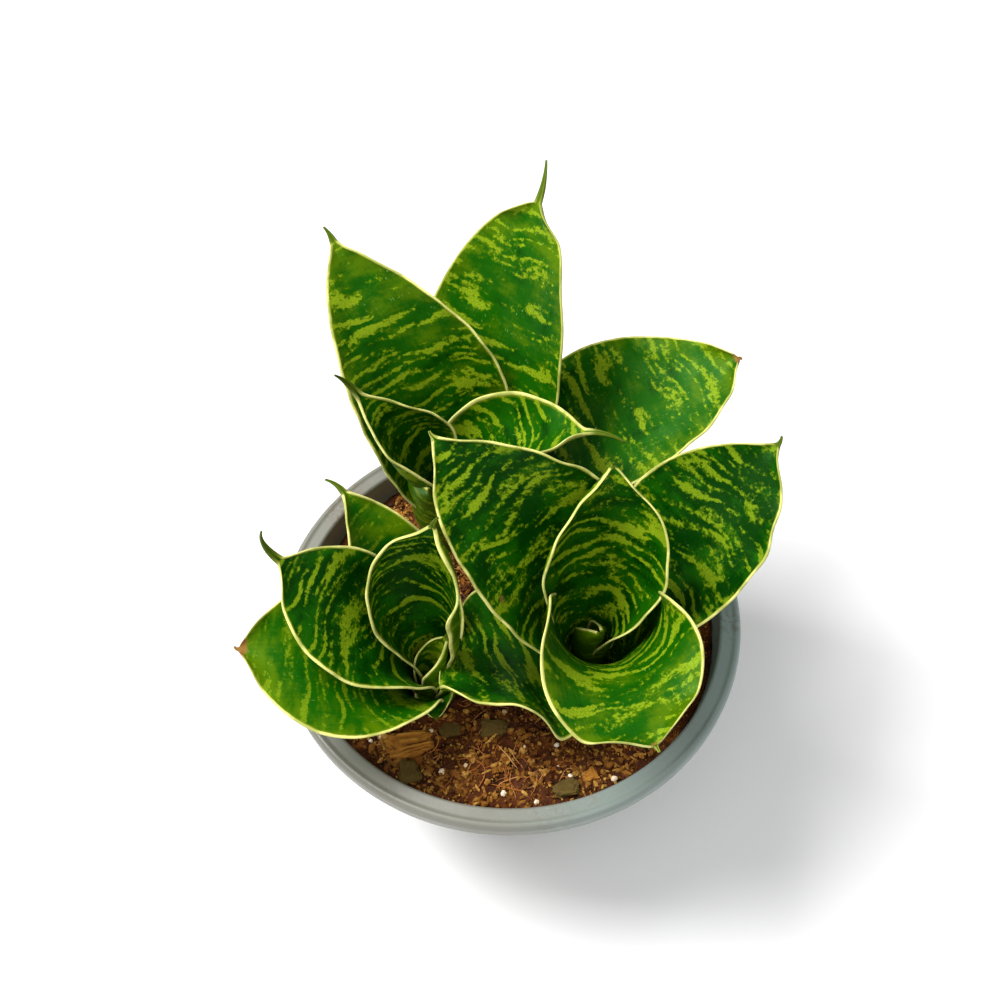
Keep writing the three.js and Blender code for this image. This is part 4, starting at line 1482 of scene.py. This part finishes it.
class PottingMix:
    """Damp bark and coir: a rough bed with loose crumbs, flakes and fibres on it."""

    AROUND = 360
    RINGS = 150
    WALL_ROWS = 14
    MOUNDS = ((MAIN_CROWN, 15.0), (BACK_CROWN, 14.0), (SIDE_CROWN, 12.0))
    WAVES = ((24.0, 0.9), (9.0, 0.55), (4.0, 0.35), (1.9, 0.2))
    STRANDS = StrandSize()

    def __init__(self, size: MixSize = MixSize(), seed: int = 11) -> None:
        """Fix the bed's unevenness.

        Args:
            size: The mix's sizes.
            seed: The number that fixes the bed and everything scattered on it.
        """
        self.size = size
        self.rng = np.random.default_rng(seed)
        self.waves = [(Waves(seed + k, reach), height) for k, (reach, height) in enumerate(self.WAVES)]

    def height(self, x: np.ndarray, y: np.ndarray) -> np.ndarray:
        """Find how high the bed lies.

        Args:
            x: Places across, in mm.
            y: Places from front to back, in mm.

        Returns:
            The bed's height at each place, in mm.
        """
        z = self.size.level + self.size.crown * (1 - smooth(np.hypot(x, y) / 60))
        for (cx, cy), reach in self.MOUNDS:
            z = z + self.size.mound * np.exp(-(np.hypot(x - cx, y - cy) / reach) ** 4)
        flat = np.stack([x, y, 0 * x], -1)
        for waves, height in self.waves:
            z = z + waves.at(flat) * height
        return z

    def resting(self, at: tuple) -> float:
        """Return the bed's height under one place."""
        return float(self.height(*np.array(at, float)[:, None])[0])

    def inner_wall(self, z: np.ndarray) -> np.ndarray:
        """Return the radius of the pot's inside at a height."""
        p = self.size
        return lerp(p.wall_low, p.wall_high, (z - p.floor) / (p.wall_top - p.floor))

    def build(self, finishes: dict) -> None:
        """Build the bed and everything loose on it.

        Args:
            finishes: The made materials by Stuff.
        """
        self._bed(finishes[Stuff.MIX])
        crumbs = self._scatter(LUMPS, CRUMBS, FLAKES)
        crumbs.build("loose_crumbs", (), "potting_mix", finishes[Stuff.CRUMBS]).data.shade_flat()
        self._strands().build("coir_strands", (), "potting_mix", finishes[Stuff.FIBRE])
        self._scatter(WHITE_GRAINS).build("fine_perlite", (), "perlite", finishes[Stuff.PERLITE])

    def _bed(self, material: bpy.types.Material) -> None:
        """Build the bed itself, a closed body that fills the pot.

        Args:
            material: The damp mix.
        """
        angle = circle(self.AROUND)
        reach = np.linspace(0.004, 1, self.RINGS)[:, None] * self.size.edge
        x, y = reach * np.cos(angle), reach * np.sin(angle)
        top = np.stack([x, y, self.height(x, y)], -1)
        z = lerp(top[-1, :, 2], self.size.floor, np.linspace(0.05, 1, self.WALL_ROWS)[:, None])
        wall = self.inner_wall(z) - self.size.wall_gap
        side = np.stack([wall * np.cos(angle), wall * np.sin(angle), z], -1)
        middle = (0, 0, float(top[0, :, 2].mean()))
        verts, faces = closed_skin(np.concatenate([top, side]), middle, (0, 0, self.size.floor))
        heap = Heap()
        heap.add(verts, [face[::-1] for face in faces], 0.42 + 0.3 * Waves(31, 12.0).at(verts))
        heap.build("mix_bed", ("potting_mix",), "potting_mix", material)

    def _spot(self, reach: float) -> tuple:
        """Choose a random place on the bed, outside the rosettes' hearts and off the chips.

        Args:
            reach: The farthest from the middle, in mm.

        Returns:
            x and y in mm.
        """
        while True:
            r = reach * math.sqrt(self.rng.uniform(0, 1))
            a = self.rng.uniform(0, WHOLE_TURN)
            at = r * math.cos(a), r * math.sin(a)
            in_heart = any(math.dist(at, middle) < self.size.heart for middle, _ in self.MOUNDS)
            on_chip = any(math.dist(at, chip.at) < 0.4 * chip.size[0] for chip in CHIPS)
            if not in_heart and not on_chip:
                return at

    def _drawn(self, span: float | tuple) -> float:
        """Return a random number from a span, or the number itself where it is fixed."""
        return self.rng.uniform(*span) if isinstance(span, tuple) else span

    def _lump(self, kind: Litter, ball: np.ndarray) -> np.ndarray:
        """Shape one irregular lump resting on the bed.

        Args:
            kind: What sort of lump it is.
            ball: Points of a unit ball.

        Returns:
            Points in mm.
        """
        half = self._drawn(kind.scale) * np.array([self._drawn(span) for span in kind.sides])
        swell = 1 + kind.rough * Waves(int(self.rng.integers(1 << 30)), 2.2, 5).at(ball)
        swell = swell + kind.rough * 0.5 * self.rng.uniform(-1, 1, len(ball))
        points = (ball * swell[:, None] * half) @ random_turn(self.rng, kind.tilt).T
        at = self._spot(self.size.litter_reach - float(half.max()))
        return points + np.array([*at, self.resting(at) + half[2] * (1 - kind.sink)])

    def _scatter(self, *kinds: Litter) -> Heap:
        """Scatter small lumps over the bed.

        Args:
            kinds: The sorts of lump, one after the other.

        Returns:
            All of them.
        """
        heap = Heap()
        for kind in kinds:
            ball, faces = crumb_ball(kind.fineness)
            tint = getattr(self.rng, kind.tint_law)
            for _ in range(kind.count):
                heap.add(self._lump(kind, ball), faces, tint(*kind.tint))
        return heap

    def _strand(self) -> np.ndarray:
        """Lay one thin curved strand of coir on the bed.

        Returns:
            Its points in mm, of shape rows, ring, 3.
        """
        rng, p = self.rng, self.STRANDS
        length = rng.uniform(*p.length)
        at = self._spot(p.reach)
        heading = rng.uniform(0, WHOLE_TURN)
        bend = rng.normal(0, p.curl)
        t = np.linspace(-0.5, 0.5, p.rows)
        way = heading + bend * t + rng.normal(0, p.kink) * np.sin(5 * t)
        steps = np.stack([np.cos(way), np.sin(way)], 1)[1:]
        flat = np.array(at) + np.concatenate([[[0, 0]], np.cumsum(steps, 0)]) * length / p.rows
        flat = flat * np.minimum(1, self.size.strand_reach / np.hypot(*flat.T))[:, None]
        lift = p.gap + 0.8 * rng.uniform(*p.lift) * (1 - (2 * t) ** 2)
        ground = self.height(*flat.T)
        middle = np.column_stack([flat, lerp(ground.mean(), ground, 0.5) + lift])
        radius = rng.uniform(*p.radius) * (1 - 0.6 * np.abs(2 * t) ** 3)
        turn = circle(p.sides)
        side = np.stack([-np.sin(way), np.cos(way), 0 * way], 1)
        ring = side[:, None] * np.cos(turn)[:, None] + np.array([0, 0, 1.0]) * np.sin(turn)[:, None]
        return middle[:, None] + ring * radius[:, None, None]

    def _strands(self) -> Heap:
        """Lay the strands of coir, each a thin tube with capped ends.

        Returns:
            All of them.
        """
        heap = Heap()
        sides, rows = self.STRANDS.sides, self.STRANDS.rows
        quads = ring_faces(rows, sides)
        faces = [[a, b, c] for a, b, c, _ in quads] + [[a, c, d] for a, _, c, d in quads]
        faces += [[0, k + 1, k] for k in range(1, sides - 1)]
        start = (rows - 1) * sides
        faces += [[start, start + k, start + k + 1] for k in range(1, sides - 1)]
        for _ in range(self.STRANDS.count):
            heap.add(self._strand().reshape(-1, 3), faces, self.rng.uniform(0.1, 1))
        return heap


@dataclass(frozen=True)
class Chip:
    """A flat piece of bark on the mix. Sizes in mm, turn in degrees."""

    at: tuple
    size: tuple
    turn: float
    dark: bool = False


CHIPS = (
    Chip((-31, -43.5), (14, 8, 2.4), 12),
    Chip((-31, -52.5), (7.5, 6, 1.6), 100, True),
    Chip((-18.5, -38.5), (6, 4.5, 1.5), 0, True),
    Chip((17, -58.5), (8, 5, 1.8), 15, True),
    Chip((24.5, -54), (4.5, 3.5, 1.2), 30),
    Chip((-40, 42), (8, 5, 1.8), 35),
    Chip((-5, -38), (8, 6.5, 1.8), 10, True),
    Chip((10, 56), (9, 6, 2), -15),
)
GRAINS = (
    ((-21, -52), 2.7),
    ((-2, -60), 2.4),
    ((8, -63), 2.2),
    ((32, -55), 2.6),
    ((-52, 24), 2.6),
    ((58, 24), 2.4),
    ((-4, 20), 2.6),
)


class TopDressing:
    """The bark chips and large perlite grains that the CAD model also has."""

    FINENESS = 4
    SLAB = (0.55, 0.6, 0.5)
    LAYERS = (0.15, 1, 1)
    DARK_RIDGE = 0.08
    RIDGE = 0.3

    def __init__(self, mix: PottingMix) -> None:
        """Keep the mix that they lie on."""
        self.mix = mix

    def build(self, finishes: dict) -> None:
        """Build and dress every chip and grain.

        Args:
            finishes: The made materials by Stuff.
        """
        for i, chip in enumerate(CHIPS):
            self._chip(i + 1, chip, finishes[Stuff.STONE_BARK if chip.dark else Stuff.BARK])
        for i, (at, size) in enumerate(GRAINS):
            self._grain(i + 1, at, size, finishes[Stuff.PERLITE])

    def _chip(self, number: int, chip: Chip, material: bpy.types.Material) -> None:
        """Build one chip: a rough slab with broken, layered ends.

        Args:
            number: The chip's number, which also fixes its shape.
            chip: Its place and size.
            material: The bark.
        """
        points, faces = crumb_ball(self.FINENESS)
        half = np.array(chip.size) / 2
        box = np.sign(points) * np.abs(points) ** np.array(self.SLAB)
        broken = Waves(number * 5, 0.5).at(box) * 0.10 + Waves(number * 5 + 1, 1.4).at(box) * 0.14
        ridge = self.DARK_RIDGE if chip.dark else self.RIDGE
        ridged = Waves(number * 5 + 2, 0.32).at(box * np.array(self.LAYERS)) * ridge
        body = box * (1 + broken)[:, None]
        body[:, 2] += ridged * (box[:, 2] > 0) * 0.8
        body[:, 1] *= 1 - 0.25 * box[:, 0] * math.copysign(1.0, math.sin(number))
        body = (body * half) @ spin(math.radians(chip.turn), 2).T
        heap = Heap()
        place = np.array([*chip.at, self.mix.resting(chip.at) + half[2] * 0.8])
        heap.add(body + place, faces, 0.55 + 1.2 * ridged)
        heap.build(f"bark_{number}", (f"bark_chip_{number}",), "bark", material)

    def _grain(self, number: int, at: tuple, size: float, material: bpy.types.Material) -> None:
        """Build one grain of perlite: a lumpy, pitted ball.

        Args:
            number: The grain's number, which also fixes its shape.
            at: Its x and y in mm.
            size: Its width in mm.
            material: The perlite.
        """
        points, faces = crumb_ball(self.FINENESS)
        lumps = Waves(number * 9, 1.3).at(points) * 0.14
        pits = np.abs(Waves(number * 9 + 1, 0.5).at(points)) * 0.10
        body = points * (1 + lumps - pits)[:, None] * size * 0.38
        heap = Heap()
        heap.add(body + np.array([*at, self.mix.resting(at) + size * 0.22]), faces, 0.7)
        heap.build(f"grain_{number}", (f"perlite_{number}",), "perlite", material)


# ---------------------------------------------------------------------------
# Floor, light and viewer
# ---------------------------------------------------------------------------
class Studio:
    """A pale floor, a bright soft room, a broad lamp on the left and the viewer.

    Places are in mm, the floor's and the lamps' widths in metres, their power in watts.
    """

    EYE = (-3.12, -233.1, 458.6)
    TILT = 35.54
    LENS = 50.0
    AIM = (0, 0, 60)
    FLOOR = 6.0
    FLOOR_TONES = (0.87, 0.89)
    ROOM = 0.5
    KEY = ((-510, 120, 910), 0.5, 15.5)
    FRONT_FILL = ((0, -640, 830), 1.0, 3.6)

    def build(self) -> None:
        """Set up everything round the plant."""
        self._floor()
        self._room()
        self._lamp("key", *self.KEY)
        self._lamp("front_fill", *self.FRONT_FILL)
        self._camera()
        bpy.context.scene.view_settings.view_transform = "Standard"
        LOG.info("studio ready")

    def _floor(self) -> None:
        """Lay a matt off-white floor."""
        mesh = bpy.data.meshes.new("floor")
        half = self.FLOOR / 2
        corners = [(-half, -half, 0), (half, -half, 0), (half, half, 0), (-half, half, 0)]
        mesh.from_pydata(corners, [], [(0, 1, 2, 3)])
        floor = placed_object("floor", mesh)
        material, n, shader = new_material("floor_paper")
        dull, pale = ((tone, tone, tone, 1.0) for tone in self.FLOOR_TONES)
        cloud = n.ramp(n.noise(n.place(), 3.0), 0.3, 0.7)
        n.join(n.mix(cloud, dull, pale), shader.inputs["Base Color"])
        n.join(0.9, shader.inputs["Roughness"])
        n.join(0.1, shader.inputs["Specular IOR Level"])
        mesh.materials.append(material)

    def _room(self) -> None:
        """Light everything evenly from all round."""
        world = bpy.data.worlds.new("soft_room")
        world.use_nodes = True
        back = next(n for n in world.node_tree.nodes if n.type == "BACKGROUND")
        back.inputs["Color"].default_value = (1.0, 1.0, 1.0, 1.0)
        back.inputs["Strength"].default_value = self.ROOM
        bpy.context.scene.world = world

    def _lamp(self, name: str, place: tuple, size: float, power: float) -> None:
        """Hang a square soft lamp aimed at the plant.

        Args:
            name: Name of the lamp.
            place: Its place.
            size: Its width.
            power: Its power.
        """
        light = bpy.data.lights.new(name, "AREA")
        light.size = size
        light.energy = power
        lamp = placed_object(name, light)
        lamp.location = Vector(place) * MM
        aim = Vector(self.AIM) * MM - lamp.location
        lamp.rotation_euler = aim.to_track_quat("-Z", "Y").to_euler()

    def _camera(self) -> None:
        """Set the viewer high in front of the plant, looking down on it."""
        view = bpy.data.cameras.new("viewer")
        view.lens = self.LENS
        camera = placed_object("viewer", view)
        camera.location = Vector(self.EYE) * MM
        camera.rotation_euler = (math.radians(self.TILT), 0.0, 0.0)
        bpy.context.scene.camera = camera


def main() -> None:
    """Build the plant piece by piece, dress it and set up the studio."""
    logging.basicConfig(level=logging.INFO, format="%(name)s: %(message)s")
    effects = Effects()
    skin = LeafSkin().make(effects)
    finishes = {stuff: stuff.value.make(effects) for stuff in Stuff}
    Pot().build(PotPlastic().make(effects))
    mix = PottingMix()
    mix.build(finishes)
    TopDressing(mix).build(finishes)
    MAIN_ROSETTE.build(skin, 1)
    BACK_ROSETTE.build(skin, 21)
    SIDE_ROSETTE.build(skin, 41)
    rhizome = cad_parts["rhizome"]
    rhizome.data.materials.clear()
    rhizome.data.materials.append(finishes[Stuff.CROWN])
    LOG.info("rhizome dressed")
    Studio().build()


if __name__ == "__main__":
    main()
